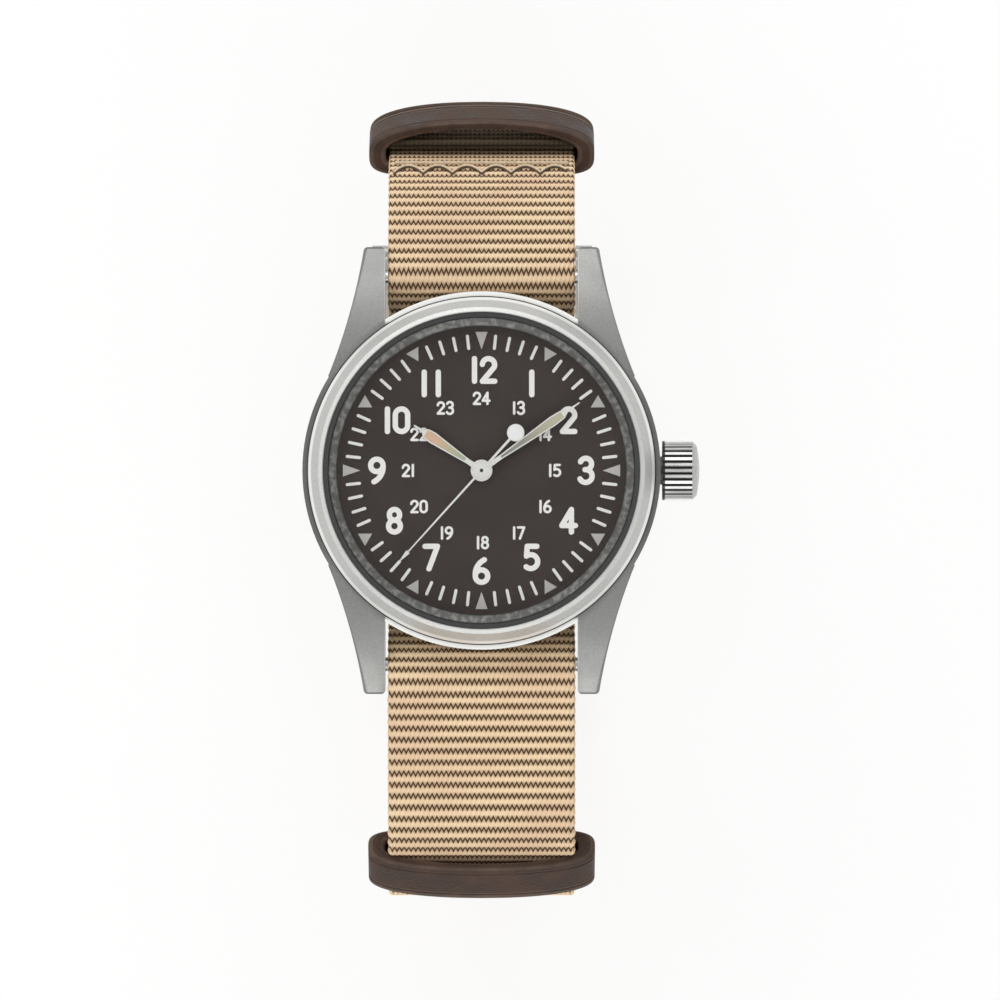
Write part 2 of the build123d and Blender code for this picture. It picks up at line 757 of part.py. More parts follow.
def screw(place, seat, depth):
    """A slotted screw in the open part, its head under the seat and its shank going up."""
    disc(screw_head_radius, seat - screw_head, seat, place)
    disc(screw_radius, seat, seat + depth, place)
    slot_floor = seat - screw_head / 2
    with BuildSketch(Plane.XY.offset(slot_floor)) as slot:
        with Locations(place):
            Rectangle(2 * screw_head_radius, screw_head / 2)
    extrude(slot.sketch, amount=-screw_head, mode=Mode.SUBTRACT)


shank = bridge_thickness + plate_thickness

with BuildPart() as bridge_screws:
    for place in pillar_places:
        screw(place, level(bridge_low), shank)
    for place in cock_feet:
        screw(place, level(cock_low), cock_thickness + plate_thickness)
    disc(core_radius, level(ratchet_low), level(ratchet_top - fit_clearance), crown_wheel_at)
    disc(core_radius + screw_radius, level(ratchet_low + screw_head), level(ratchet_low), crown_wheel_at)
    disc(screw_radius, level(bridge_low), level(bridge_depth), crown_wheel_at)
finish_part(bridge_screws, "bridge_screws")

clamp_angles = (110, 200)
clamp_length = 3.0
clamp_width = 1.6
clamp_thickness = 0.35
clamp_z = level(bridge_low) - clamp_thickness

with BuildPart() as casing_clamps:
    for angle in clamp_angles:
        with BuildSketch(Plane.XY.offset(clamp_z)) as plate:
            with PolarLocations(movement_radius, 1, start_angle=angle):
                Rectangle(clamp_length, clamp_width)
            with PolarLocations(movement_radius - screw_head_radius, 1, start_angle=angle):
                Circle(screw_radius, mode=Mode.SUBTRACT)
        extrude(plate.sketch, amount=clamp_thickness)
finish_part(casing_clamps, "casing_clamps")

# Barrel and winding wheels
drum_wall = 0.25
drum_floor = 0.15
drum_radius = barrel_module * barrel_teeth / 2 - 2 * barrel_module
tooth_band = 0.32
arbor_pitch = 1.3
spring_pitch = 0.42
spring_thickness = 0.12
spring_turns = 6

with BuildPart() as barrel_drum:
    gear(barrel_teeth, barrel_module, level(drum_top + tooth_band), level(drum_top), barrel_at,
         mesh_phase(barrel_teeth, barrel_angle + 180), hole=arbor_neck + running_clearance)
    disc(drum_radius, level(drum_low - drum_floor), level(drum_top + tooth_band), barrel_at,
         hole=drum_radius - drum_wall)
finish_part(barrel_drum, "barrel_drum")

with BuildPart() as barrel_cover:
    disc(drum_radius, level(drum_low), level(drum_low - drum_floor), barrel_at,
         hole=arbor_neck + running_clearance)
finish_part(barrel_cover, "barrel_cover")

with BuildPart() as barrel_arbor:
    disc(arbor_neck, level(drum_low + slip_gap), level(plate_thickness), barrel_at)
    disc(arbor_pitch, level(drum_low - drum_floor - slip_gap), level(drum_top + tooth_band + slip_gap),
         barrel_at)
    disc(barrel_arbor_radius, level(ratchet_top), level(drum_low + slip_gap), barrel_at)
finish_part(barrel_arbor, "barrel_arbor")


def spiral(centre, inner, pitch, turns, thickness, low, high):
    """A flat spiral strip in the open part, made of half circles that grow by half a pitch."""
    with BuildSketch(Plane.XY.offset(low)) as strip:
        with BuildLine() as path:
            x, y = centre
            place = x + inner
            radius = inner
            side = 1
            for half_turn in range(2 * turns):
                far = place - side * 2 * (radius + pitch / 4)
                middle = (place + far) / 2
                ThreePointArc((place, y), (middle, y + side * abs(place - far) / 2), (far, y))
                place = far
                radius += pitch / 2
                side = -side
        trace(path.line, line_width=thickness)
    extrude(strip.sketch, amount=high - low)


with BuildPart() as mainspring:
    spiral(barrel_at, arbor_pitch + 2 * spring_thickness, spring_pitch, spring_turns, spring_thickness,
           level(drum_low - drum_floor - slip_gap), level(drum_top + tooth_band + slip_gap))
finish_part(mainspring, "mainspring")

ratchet_heading = degrees(atan2(-barrel_at[1], crown_wheel_x - barrel_at[0]))
with BuildPart() as ratchet_wheel:
    gear(ratchet_teeth, winding_module, level(ratchet_low), level(ratchet_top), barrel_at,
         mesh_phase(ratchet_teeth, ratchet_heading), hole=screw_radius)
finish_part(ratchet_wheel, "ratchet_wheel")

with BuildPart() as ratchet_screw:
    disc(screw_head_radius, level(ratchet_low + screw_head), level(ratchet_low), barrel_at)
    disc(screw_radius, level(ratchet_low), level(ratchet_top), barrel_at)
finish_part(ratchet_screw, "ratchet_screw")

contrate_bite = 0.16
contrate_top = stem_depth + winding_module * winding_pinion_teeth / 2 - contrate_bite
contrate_width = 0.24
contrate_length = 0.42

with BuildPart() as crown_wheel:
    gear(crown_wheel_teeth, winding_module, level(ratchet_low), level(ratchet_top), crown_wheel_at,
         ratchet_heading + 180, hole=core_radius + running_clearance)
    with BuildSketch(Plane.XY.offset(level(ratchet_top))) as teeth_face:
        with Locations(crown_wheel_at):
            with PolarLocations(winding_module * crown_wheel_teeth / 2, crown_wheel_teeth):
                Rectangle(contrate_length, contrate_width)
    extrude(teeth_face.sketch, amount=ratchet_top - contrate_top)
finish_part(crown_wheel, "crown_wheel")

click_angle = 150.0
click_radius = 0.55
click_bite = 0.1
click_reach = 0.88
ratchet_tip = winding_module * (ratchet_teeth / 2 + 1)
half_tooth = 180 / ratchet_teeth
click_at = polar(ratchet_tip + click_reach, click_angle, barrel_at)
click_nose = polar(ratchet_tip - click_bite, click_angle - half_tooth, barrel_at)
click_spring_gap = 0.2

with BuildPart() as click:
    with BuildSketch(Plane.XY.offset(level(ratchet_low))) as pawl:
        with BuildLine():
            Polyline(polar(click_radius, click_angle + 90, click_at),
                     click_nose, polar(click_radius, click_angle - 90, click_at), close=True)
        make_face()
        with Locations(click_at):
            Circle(click_radius)
            Circle(screw_radius / 2 + running_clearance, mode=Mode.SUBTRACT)
    extrude(pawl.sketch, amount=ratchet_thickness)
finish_part(click, "click")

spring_wire = 0.15

spring_start = polar(click_radius + click_spring_gap, click_angle, click_at)
with BuildPart() as click_spring:
    with BuildSketch(Plane.XY.offset(level(ratchet_low))) as wire_face:
        with BuildLine() as path:
            ThreePointArc(polar(click_radius + click_spring_gap, click_angle - 60, click_at),
                          spring_start,
                          polar(click_radius + click_spring_gap, click_angle + 60, click_at))
        trace(path.line, line_width=spring_wire)
        with Locations(spring_start):
            Circle(2 * spring_wire)
    extrude(wire_face.sketch, amount=ratchet_thickness)
    disc(2 * spring_wire, level(ratchet_low), level(bridge_low), spring_start)
finish_part(click_spring, "click_spring")

# Going train
pinion_gap = 0.1
hub_radius = 0.32
hub_bore = arbor_radius + running_clearance

with BuildPart() as centre_wheel:
    gear(centre_teeth, centre_module, level(centre_wheel_low), level(centre_wheel_top), hole=hub_bore,
         phase=mesh_phase(centre_teeth, third_angle), spokes=5)
    gear(centre_pinion_leaves, barrel_module, level(drum_top + tooth_band), level(centre_wheel_low),
         phase=barrel_angle, hole=hub_bore)
    disc(hub_radius, level(centre_wheel_top), level(cannon_top), hole=hub_bore)
finish_part(centre_wheel, "centre_wheel")

third_phase = third_angle + 180
with BuildPart() as third_wheel:
    gear(third_pinion_leaves, centre_module, level(third_wheel_top), level(centre_wheel_top), third_at,
         third_phase)
    gear(third_teeth, third_module, level(third_wheel_low), level(third_wheel_top), third_at,
         mesh_phase(third_teeth, third_phase), spokes=5)
    arbor(level(bridge_low), level(plate_thickness - jewel_thickness), third_at)
finish_part(third_wheel, "third_wheel")

with BuildPart() as fourth_wheel:
    gear(fourth_pinion_leaves, third_module, level(third_wheel_low + pinion_gap),
         level(third_wheel_top - pinion_gap), phase=third_angle)
    gear(fourth_teeth, fourth_module, level(fourth_wheel_low), level(fourth_wheel_top),
         phase=mesh_phase(fourth_teeth, escape_angle), spokes=5)
    disc(hub_radius, level(fourth_wheel_top), level(third_wheel_low + pinion_gap))
    arbor(level(bridge_low), seconds_hand_z + hand_thickness)
finish_part(fourth_wheel, "fourth_wheel")

escape_teeth = 15
escape_root_share = 0.8
escape_tip_share = 0.1

with BuildPart() as escape_wheel:
    with BuildSketch(Plane.XY.offset(level(escape_wheel_low))) as club_wheel:
        corners = []
        for tooth in range(escape_teeth):
            turn = tooth * 360 / escape_teeth
            corners.append(polar(escape_radius * escape_root_share, turn, escape_at))
            corners.append(polar(escape_radius, turn + escape_tip_share * 360 / escape_teeth, escape_at))
            corners.append(polar(escape_radius, turn + 2 * escape_tip_share * 360 / escape_teeth,
                                 escape_at))
            corners.append(polar(escape_radius * escape_root_share,
                                 turn + 4 * escape_tip_share * 360 / escape_teeth, escape_at))
        with BuildLine():
            Polyline(*corners, close=True)
        make_face()
        with Locations(escape_at):
            with PolarLocations(escape_radius * window_circle_share * 0.8, 4):
                Circle(escape_radius * window_share * 0.8, mode=Mode.SUBTRACT)
    extrude(club_wheel.sketch, amount=wheel_thickness)
    gear(escape_pinion_leaves, fourth_module, level(fourth_wheel_low + mobile_gap / 2),
         level(escape_wheel_low), escape_at, escape_angle + 180)
    arbor(level(bridge_low), level(plate_thickness - jewel_thickness), escape_at)
finish_part(escape_wheel, "escape_wheel")

pallet_arm = 1.55
pallet_back = 0.75
lever_width = 0.3
fork_width = 0.5
roller_radius = 0.42
fork_gap = 0.12
impulse_radius = 0.08
fork_reach = pallet_span - pallet_distance - roller_radius

with BuildPart() as pallet_fork:
    lever_plane = Plane(origin=(pallet_at[0], pallet_at[1], level(escape_wheel_low)),
                        x_dir=(cos(radians(pallet_heading)), sin(radians(pallet_heading)), 0),
                        z_dir=(0, 0, 1))
    with BuildSketch(lever_plane) as anchor:
        with BuildLine():
            Polyline((-pallet_back, -pallet_arm), (-pallet_back + lever_width, -pallet_arm),
                     (lever_width, 0), (-pallet_back + lever_width, pallet_arm),
                     (-pallet_back, pallet_arm), (-lever_width, 0), close=True)
        make_face()
        with Locations((fork_reach / 2, 0)):
            Rectangle(fork_reach, lever_width)
        with Locations((fork_reach - fork_width / 2, 0)):
            Rectangle(fork_width, fork_width)
        with Locations((fork_reach, 0)):
            Rectangle(fork_width, fork_gap + 2 * impulse_radius, mode=Mode.SUBTRACT)
        Circle(arbor_radius * 2)
    extrude(anchor.sketch, amount=wheel_thickness)
    arbor(level(pallet_bridge_depth + pallet_bridge_thickness), level(plate_thickness - jewel_thickness),
          pallet_at)
finish_part(pallet_fork, "pallet_fork")

balance_radius = 4.1
balance_rim = 0.5
balance_spoke = 0.4
balance_height = 0.35
roller_thickness = 0.12

with BuildPart() as balance_wheel:
    with BuildSketch(Plane.XY.offset(level(balance_depth + balance_height))) as hoop:
        with Locations(balance_at):
            Circle(balance_radius)
            Circle(balance_radius - balance_rim, mode=Mode.SUBTRACT)
            Rectangle(2 * balance_radius - balance_rim, balance_spoke)
            Rectangle(balance_spoke, 2 * balance_radius - balance_rim)
    extrude(hoop.sketch, amount=balance_height)
    disc(roller_radius, level(escape_wheel_top), level(escape_wheel_top - roller_thickness), balance_at)
    disc(impulse_radius, level(escape_wheel_low), level(escape_wheel_top),
         polar(roller_radius - 2 * impulse_radius, pallet_heading + 180, balance_at))
    arbor(level(cock_low), level(plate_thickness - jewel_thickness), balance_at)
finish_part(balance_wheel, "balance_wheel")

hairspring_pitch = 0.3
hairspring_wire = 0.06
hairspring_turns = 5
hairspring_height = 0.15
stud_radius = 0.14

hairspring_low = balance_depth + balance_height + mobile_gap + hairspring_height
hairspring_end = (balance_at[0] + hub_radius + hairspring_turns * hairspring_pitch, balance_at[1])
with BuildPart() as hairspring:
    spiral(balance_at, hub_radius, hairspring_pitch, hairspring_turns, hairspring_wire,
           level(hairspring_low), level(hairspring_low - hairspring_height))
    disc(stud_radius, level(cock_top + slip_gap), level(hairspring_low), hairspring_end)
finish_part(hairspring, "hairspring")

# Motion works under the dial
with BuildPart() as cannon_pinion:
    disc(cannon_radius, level(cannon_top), minute_hand_z + hand_thickness, hole=hub_bore)
    gear(cannon_leaves, motion_module, level(cannon_low), level(cannon_top), hole=hub_radius,
         phase=motion_angle)
finish_part(cannon_pinion, "cannon_pinion")

with BuildPart() as hour_wheel:
    disc(hour_pipe_radius, level(hour_wheel_low), hour_hand_z + hand_thickness,
         hole=cannon_radius + running_clearance)
    gear(hour_teeth, hour_module, level(hour_wheel_low), level(hour_wheel_top),
         phase=mesh_phase(hour_teeth, motion_angle), hole=cannon_radius + running_clearance)
finish_part(hour_wheel, "hour_wheel")

minute_phase = mesh_phase(minute_wheel_teeth, motion_angle + 180)
with BuildPart() as minute_wheel:
    gear(minute_wheel_teeth, motion_module, level(cannon_low), level(cannon_top), motion_at, minute_phase,
         hole=arbor_radius + running_clearance)
    gear(minute_pinion_leaves, hour_module, level(cannon_top), level(hour_wheel_top), motion_at,
         motion_angle + 180, hole=arbor_radius + running_clearance)
finish_part(minute_wheel, "minute_wheel")

# Keyless works: stem, pinions, levers
clutch_radius = 0.82
clutch_start = 8.45
clutch_length = 1.15
square_side = 0.6
groove_x = 11.75
groove_width = 0.7
groove_radius = 0.35
lever_top = 0.3
lever_thickness = 0.25
setting_arm = 2.3
lever_pin_radius = 0.2
winding_pinion_start = winding_pinion_x - winding_pinion_width / 2
crown_start = case_radius + crown_gap
crown_end = crown_start + crown_length

with BuildPart() as winding_stem:
    rod(stem_radius, winding_pinion_start, crown_start + crown_recess_depth, stem_z)
    rod(stem_radius, groove_x - groove_width / 2, groove_x + groove_width / 2, stem_z,
        hole=groove_radius, mode=Mode.SUBTRACT)
    with BuildSketch(Plane.YZ.offset(stem_start)) as square:
        with Locations((0, stem_z)):
            Rectangle(square_side, square_side)
    extrude(square.sketch, amount=winding_pinion_start - stem_start)
finish_part(winding_stem, "winding_stem")


def side_gear(teeth, module, start, end, phase, hole_radius, square_hole=0):
    """A toothed wheel about the stem's axis, in the open part."""
    with BuildSketch(Plane.YZ.offset(start)) as face:
        with BuildLine():
            Polyline(*tooth_corners(teeth, module, (0, stem_z), phase), close=True)
        make_face()
        with Locations((0, stem_z)):
            if square_hole:
                Rectangle(square_hole, square_hole, mode=Mode.SUBTRACT)
            else:
                Circle(hole_radius, mode=Mode.SUBTRACT)
    extrude(face.sketch, amount=end - start)


with BuildPart() as winding_pinion:
    side_gear(winding_pinion_teeth, winding_module, winding_pinion_start,
              winding_pinion_start + winding_pinion_width, mesh_phase(winding_pinion_teeth, -90),
              stem_radius + running_clearance)
finish_part(winding_pinion, "winding_pinion")

clutch_teeth = 18
clutch_module = 2 * clutch_radius / (clutch_teeth + 1.8)
clutch_neck = 0.18
clutch_collar = 0.38

clutch_end = clutch_start + clutch_length
with BuildPart() as sliding_pinion:
    side_gear(clutch_teeth, clutch_module, clutch_start, clutch_end, 0, 0,
              square_hole=square_side + 2 * running_clearance)
    rod(clutch_radius, clutch_start + clutch_collar, clutch_end - clutch_collar, stem_z,
        hole=clutch_radius - clutch_neck, mode=Mode.SUBTRACT)
finish_part(sliding_pinion, "sliding_pinion")

setting_pivot = (groove_x, setting_arm)
yoke_arm = 3.2
yoke_x = clutch_start + clutch_length / 2
yoke_pivot = (yoke_x, -yoke_arm)
lever_half = 0.4


def flat_lever(start, end, top, bore):
    """A flat rounded lever in the open part with a bore at its start."""
    with BuildSketch(Plane.XY.offset(level(top + lever_thickness))) as strip:
        with BuildLine() as spine:
            Line(start, end)
        trace(spine.line, line_width=2 * lever_half)
        with Locations(start, end):
            Circle(lever_half)
        if bore:
            with Locations(start):
                Circle(bore, mode=Mode.SUBTRACT)
    extrude(strip.sketch, amount=lever_thickness)


post_radius = 0.2
stem_top = stem_depth - stem_radius

with BuildPart() as setting_lever:
    flat_lever(setting_pivot, (groove_x, 0), lever_top, post_radius + running_clearance)
    disc(lever_pin_radius, level(stem_top + groove_radius / 2), level(lever_top + lever_thickness),
         (groove_x, 0))
finish_part(setting_lever, "setting_lever")

with BuildPart() as yoke:
    flat_lever(yoke_pivot, (yoke_x, 0), lever_top, post_radius + running_clearance)
    disc(lever_pin_radius / 2, level(stem_depth - clutch_radius + clutch_neck / 2),
         level(lever_top + lever_thickness), (yoke_x, 0))
finish_part(yoke, "yoke")

jumper_y = 3.4
jumper_x = 8.3

with BuildPart() as setting_jumper:
    flat_lever((jumper_x, jumper_y), (groove_x - 3 * lever_half, jumper_y), lever_top, 0)
    disc(lever_half, level(motion_depth), level(lever_top + lever_thickness), (jumper_x, jumper_y))
finish_part(setting_jumper, "setting_jumper")

with BuildPart() as pivot_posts:
    for place in (setting_pivot, yoke_pivot):
        disc(post_radius, level(motion_depth), level(lever_top - slip_gap), place)
    arbor(level(motion_depth), level(hour_wheel_top), motion_at)
    disc(screw_radius / 2, level(ratchet_low), level(bridge_low), click_at)
finish_part(pivot_posts, "pivot_posts")

# Crown
with BuildPart() as crown_tube:
    rod(crown_tube_radius, movement_bore, crown_start + crown_tube_reach, stem_z,
        hole=crown_tube_radius - crown_tube_wall)
    disc(movement_bore, back_z, case_top_z, mode=Mode.SUBTRACT)
finish_part(crown_tube, "crown_tube")

with BuildPart() as crown:
    with BuildSketch(Plane.XZ) as crown_section:
        with BuildLine():
            Polyline((crown_start + crown_recess_depth, 0),
                     (crown_start + crown_recess_depth, crown_recess_radius),
                     (crown_start, crown_recess_radius), (crown_start, crown_radius),
                     (crown_end - crown_chamfer, crown_radius), (crown_end, crown_radius - crown_chamfer))
            TangentArc((crown_end + crown_dome, 0), (crown_end, crown_radius - crown_chamfer),
                       tangent=(0, 1))
            Line((crown_end + crown_dome, 0), (crown_start + crown_recess_depth, 0))
        make_face()
    revolve(crown_section.sketch.moved(Location((0, 0, stem_z))), axis=Axis((0, 0, stem_z), (1, 0, 0)))
    with BuildSketch(Plane.YZ.offset(crown_start)) as flutes:
        with Locations((0, stem_z)):
            with PolarLocations(crown_radius + crown_flute_radius / 2, crown_flutes):
                Circle(crown_flute_radius)
    extrude(flutes.sketch, amount=crown_length - crown_chamfer, mode=Mode.SUBTRACT)
finish_part(crown, "crown")

gasket_x = crown_start + crown_recess_depth - gasket_section
with BuildPart() as crown_gasket:
    rod(crown_recess_radius, gasket_x, crown_start + crown_recess_depth, stem_z,
        hole=crown_tube_radius + running_clearance)
finish_part(crown_gasket, "crown_gasket")

# Spring bars
bar_half = lug_inner - running_clearance
with BuildPart() as spring_bar_12:
    rod(bar_radius, -bar_half, bar_half, bar_z, y=bar_reach)
    rod(bar_tip_radius, -bar_half - bar_tip_length, bar_half + bar_tip_length, bar_z, y=bar_reach)
finish_part(spring_bar_12, "spring_bar_12")
with BuildPart() as spring_bar_6:
    rod(bar_radius, -bar_half, bar_half, bar_z, y=-bar_reach)
    rod(bar_tip_radius, -bar_half - bar_tip_length, bar_half + bar_tip_length, bar_z, y=-bar_reach)
finish_part(spring_bar_6, "spring_bar_6")

# Strap loop, in the plane of Y and Z: centre lines of ribbons, all derived from the bars and the loop
bend_share = 0.45
layer_step = strap_thickness + layer_gap
wrap_radius = bar_radius + slip_gap + strap_thickness / 2
main_under_z = back_z - layer_gap - strap_thickness / 2
short_under_z = main_under_z - layer_step
bottom_z = strap_thickness / 2
crest_fall = 10.0
buckle_angle = 25.0
tail_reach = loop_reach_12 + layer_step + slip_gap


def crossing(start, start_angle, end, end_angle):
    """Where two lines in the strap's plane meet, each given by a point and a heading in degrees."""
    ay, az = cos(radians(start_angle)), sin(radians(start_angle))
    by, bz = cos(radians(end_angle)), sin(radians(end_angle))
    along = ((end[0] - start[0]) * bz - (end[1] - start[1]) * by) / (ay * bz - az * by)
    return (start[0] + along * ay, start[1] + along * az)


def heading(start, end):
    """Heading in degrees from one point to the next."""
    return degrees(atan2(end[1] - start[1], end[0] - start[0]))


def shifted(point, angle, left):
    """A point moved to the left of a heading."""
    return (point[0] - left * sin(radians(angle)), point[1] + left * cos(radians(angle)))


def offset_corner(before, corner, after, left):
    """The corner of a path that runs beside another path, to its left."""
    first, second = heading(before, corner), heading(corner, after)
    return crossing(shifted(corner, first, left), first, shifted(corner, second, left), second)


def bend_radii(corners, limits):
    """A radius for each inner corner, as large as its runs allow, or as the limits ask."""
    radii = []
    for place in range(1, len(corners) - 1):
        before, corner, after = corners[place - 1:place + 2]
        turn = abs(heading(before, corner) - heading(corner, after)) % 360
        turn = min(turn, 360 - turn)
        shorter = min(hypot(corner[0] - before[0], corner[1] - before[1]),
                      hypot(after[0] - corner[0], after[1] - corner[1]))
        radius = bend_share * shorter / tan(radians(turn / 2))
        radii.append(min(radius, limits.get(place, radius)))
    return radii


def beside(corners, radii, left):
    """Corners and radii of the line that runs beside a path, so far to its left."""
    places = [shifted(corners[0], heading(*corners[:2]), left)]
    bends = []
    for place in range(1, len(corners) - 1):
        before, corner, after = corners[place - 1:place + 2]
        places.append(offset_corner(before, corner, after, left))
        turn = (heading(corner, after) - heading(before, corner) + 180) % 360 - 180
        bends.append(radii[place - 1] - left if turn > 0 else radii[place - 1] + left)
    places.append(shifted(corners[-1], heading(*corners[-2:]), left))
    return places, bends


def ribbon(corners, limits):
    """A strap layer in the open part."""
    radii = bend_radii(corners, limits)
    outer, outer_bends = beside(corners, radii, strap_thickness / 2)
    inner, inner_bends = beside(corners, radii, -strap_thickness / 2)
    with BuildSketch(Plane.YZ) as edge_on:
        with BuildLine():
            outer_side = FilletPolyline(*outer, radius=outer_bends)
            inner_side = FilletPolyline(*reversed(inner), radius=inner_bends[::-1])
            Line(outer_side @ 1, inner_side @ 0)
            Line(inner_side @ 1, outer_side @ 0)
        make_face()
    extrude(edge_on.sketch, amount=half_strap, both=True)


def loop_place(y_share, z_share, reach):
    """A corner as shares of the loop's reach and height, counted down from the case back."""
    return (reach * y_share, back_z - loop_height * z_share)


rise_at = (bar_reach - wrap_radius * sin(radians(rise_angle)),
           bar_z + wrap_radius * cos(radians(rise_angle)))
fall_at = (bar_reach + wrap_radius * sin(radians(fall_angle)),
           bar_z + wrap_radius * cos(radians(fall_angle)))
under_12 = crossing((0, main_under_z), 0, rise_at, rise_angle)
over_12 = crossing(rise_at, rise_angle, fall_at, -fall_angle)
slope_end_share = 0.769
side_12_shares = ((0.8357, 0.0666), (0.897, 0.1416), (1.0, 0.3466))
slope_end_12 = crossing(fall_at, -fall_angle, (loop_reach_12 * slope_end_share, 0), 90)
side_12 = [loop_place(y_share, z_share, loop_reach_12) for y_share, z_share in side_12_shares]

rise_at_6 = (-rise_at[0], rise_at[1])
crest_at = (-bar_reach + wrap_radius * sin(radians(crest_angle)),
            bar_z + wrap_radius * cos(radians(crest_angle)))
under_6 = (-under_12[0], main_under_z)
over_6 = crossing(rise_at_6, 180 - rise_angle, crest_at, 180 - crest_angle)
side_6_shares = ((0.812, -0.057), (0.8564, -0.0381), (0.892, -0.0115), (1.0, 0.148),
                 (1.0, 0.4255), (0.954, 0.638), (0.765, 0.862))
side_6 = [loop_place(-y_share, z_share, loop_reach_6) for y_share, z_share in side_6_shares]
crest_6 = crossing(crest_at, 180 - crest_angle, side_6[0], crest_fall - 180)
flat_end_share = 0.4
flat_start_share = 0.195
flat_6 = (-loop_reach_6 * flat_end_share, bottom_z)
flat_12 = (loop_reach_12 * flat_start_share, bottom_z)
lower_corner_share = 0.845
tail_knee = crossing(flat_12, buckle_angle, (tail_reach * lower_corner_share, 0), 90)
knee_height_share = 0.553
tail_shoulder = (tail_reach, back_z - loop_height * knee_height_share)

# Upper keeper: its rim plane crosses the strap's last visible run
upper_run = heading(side_12[1], side_12[2])
rim_step = 2.9
rim_12 = (side_12[1][0] + rim_step * cos(radians(upper_run)),
          side_12[1][1] + rim_step * sin(radians(upper_run)))
keeper_height = 5.8
keeper_inner_12 = strap_thickness / 2 + 2 * slip_gap + leather_thickness
keeper_outer_12 = keeper_height - keeper_inner_12
tail_side = keeper_outer_12 - keeper_bow - leather_thickness - slip_gap - strap_thickness / 2
tail_end = shifted(rim_12, upper_run, tail_side)
tail_neck = crossing(tail_end, upper_run, (tail_reach, 0), 90)

# Buckle axis, beside the inclined run of the tail
pivot_radius = 0.7
fold_radius = pivot_radius + slip_gap + strap_thickness / 2
pivot_foot_share = 0.67
pivot_foot = crossing(flat_12, buckle_angle, (tail_reach * pivot_foot_share, 0), 90)
pivot_at = shifted(pivot_foot, buckle_angle, layer_step + fold_radius)
flap_length = 4.6
knee_bend = 8.0
fold_share = 0.95


def at_buckle(front, outward):
    """A point at the buckle: so far to the front of the pivot and so far outwards."""
    y, z = shifted(pivot_at, buckle_angle, -outward)
    return (y - front * cos(radians(buckle_angle)), z - front * sin(radians(buckle_angle)))


inner_knee = offset_corner(flat_12, tail_knee, tail_shoulder, layer_step)
inner_shoulder = crossing(inner_knee, heading(tail_knee, tail_shoulder), (loop_reach_12, 0), 90)
flap_end = at_buckle(-flap_length, fold_radius - layer_step)
flap_lean = asin(fold_radius / flap_length) + atan2(fold_radius - layer_step, flap_length)
flap_turn = at_buckle(fold_radius, fold_radius - layer_step - (flap_length + fold_radius) * tan(flap_lean))
fold_turn = at_buckle(fold_radius, fold_radius)
fold_bend = fold_share * fold_radius
main_corners = [flap_end, flap_turn, fold_turn, inner_knee, inner_shoulder, *reversed(side_12),
                slope_end_12, over_12, under_12, under_6, over_6, crest_6, *side_6, flat_6, flat_12,
                tail_knee, tail_shoulder, tail_neck, tail_end]
under_bend = 2 * strap_thickness
crest_bend = 3 * strap_thickness
flat_bend_6 = 20.0
flat_bend_12 = 9.0
main_limits = {1: fold_bend, 2: fold_bend, 3: knee_bend, 9: wrap_radius, 10: under_bend,
               11: under_bend, 12: wrap_radius, 13: crest_bend, 21: flat_bend_6, 22: flat_bend_12,
               23: knee_bend + layer_step}
tang_width = 1.5
tang_thickness = 1.1
tang_slot = tang_width + 4 * slip_gap
tang_hole_start = 0.9
tang_hole_end = 4.5

with BuildPart() as main_strap:
    ribbon(main_corners, main_limits)
    with BuildSketch(Plane.YZ) as slot:
        with BuildLine():
            Polyline(at_buckle(-2 * fold_radius, -2 * fold_radius),
                     at_buckle(2 * fold_radius, -2 * fold_radius),
                     at_buckle(2 * fold_radius, fold_radius + layer_step / 2),
                     at_buckle(-2 * fold_radius, fold_radius + layer_step / 2), close=True)
        make_face()
    extrude(slot.sketch, amount=tang_slot / 2, both=True, mode=Mode.SUBTRACT)
    with BuildSketch(Plane.YZ) as tail_hole:
        with BuildLine():
            Polyline(at_buckle(tang_hole_start, fold_radius + layer_step / 2),
                     at_buckle(tang_hole_end, fold_radius + layer_step / 2),
                     at_buckle(tang_hole_end, fold_radius + 2 * layer_step),
                     at_buckle(tang_hole_start, fold_radius + 2 * layer_step), close=True)
        make_face()
    extrude(tail_hole.sketch, amount=tang_slot / 2, both=True, mode=Mode.SUBTRACT)
    for place in range(-1, 2):
        disc(strap_hole_radius, -overrun, strap_thickness + overrun,
             (0, place * stitch_hole_pitch - stitch_hole_pitch / 2), mode=Mode.SUBTRACT)
finish_part(main_strap, "main_strap")

# Short strap on the wrist side, sewn on below the upper keeper and holding the lower keeper
short_12_share = (0.788, 0.104)
short_turn_share = 0.55
rim_gap = 0.3
short_knee_12 = loop_place(*short_12_share, loop_reach_12)
short_side_12 = offset_corner(side_12[0], side_12[1], side_12[2], -layer_step)
short_end_12 = shifted((rim_12[0] - rim_gap * cos(radians(upper_run)),
                        rim_12[1] - rim_gap * sin(radians(upper_run))), upper_run, -layer_step)
lower_run = heading(side_6[2], side_6[3])
rim_step_6 = 0.75
rim_6 = (side_6[2][0] + rim_step_6 * cos(radians(lower_run)),
         side_6[2][1] + rim_step_6 * sin(radians(lower_run)))
short_corner_6 = offset_corner(side_6[1], side_6[2], side_6[3], layer_step)
short_end_6 = (short_corner_6[0] + keeper_length * cos(radians(lower_run)),
               short_corner_6[1] + keeper_length * sin(radians(lower_run)))
short_corners = [short_end_12, short_side_12, short_knee_12,
                 (loop_reach_12 * short_turn_share, short_under_z),
                 (-bar_reach, short_under_z), short_corner_6, short_end_6]

with BuildPart() as short_strap:
    ribbon(short_corners, {5: strap_thickness})
finish_part(short_strap, "short_strap")


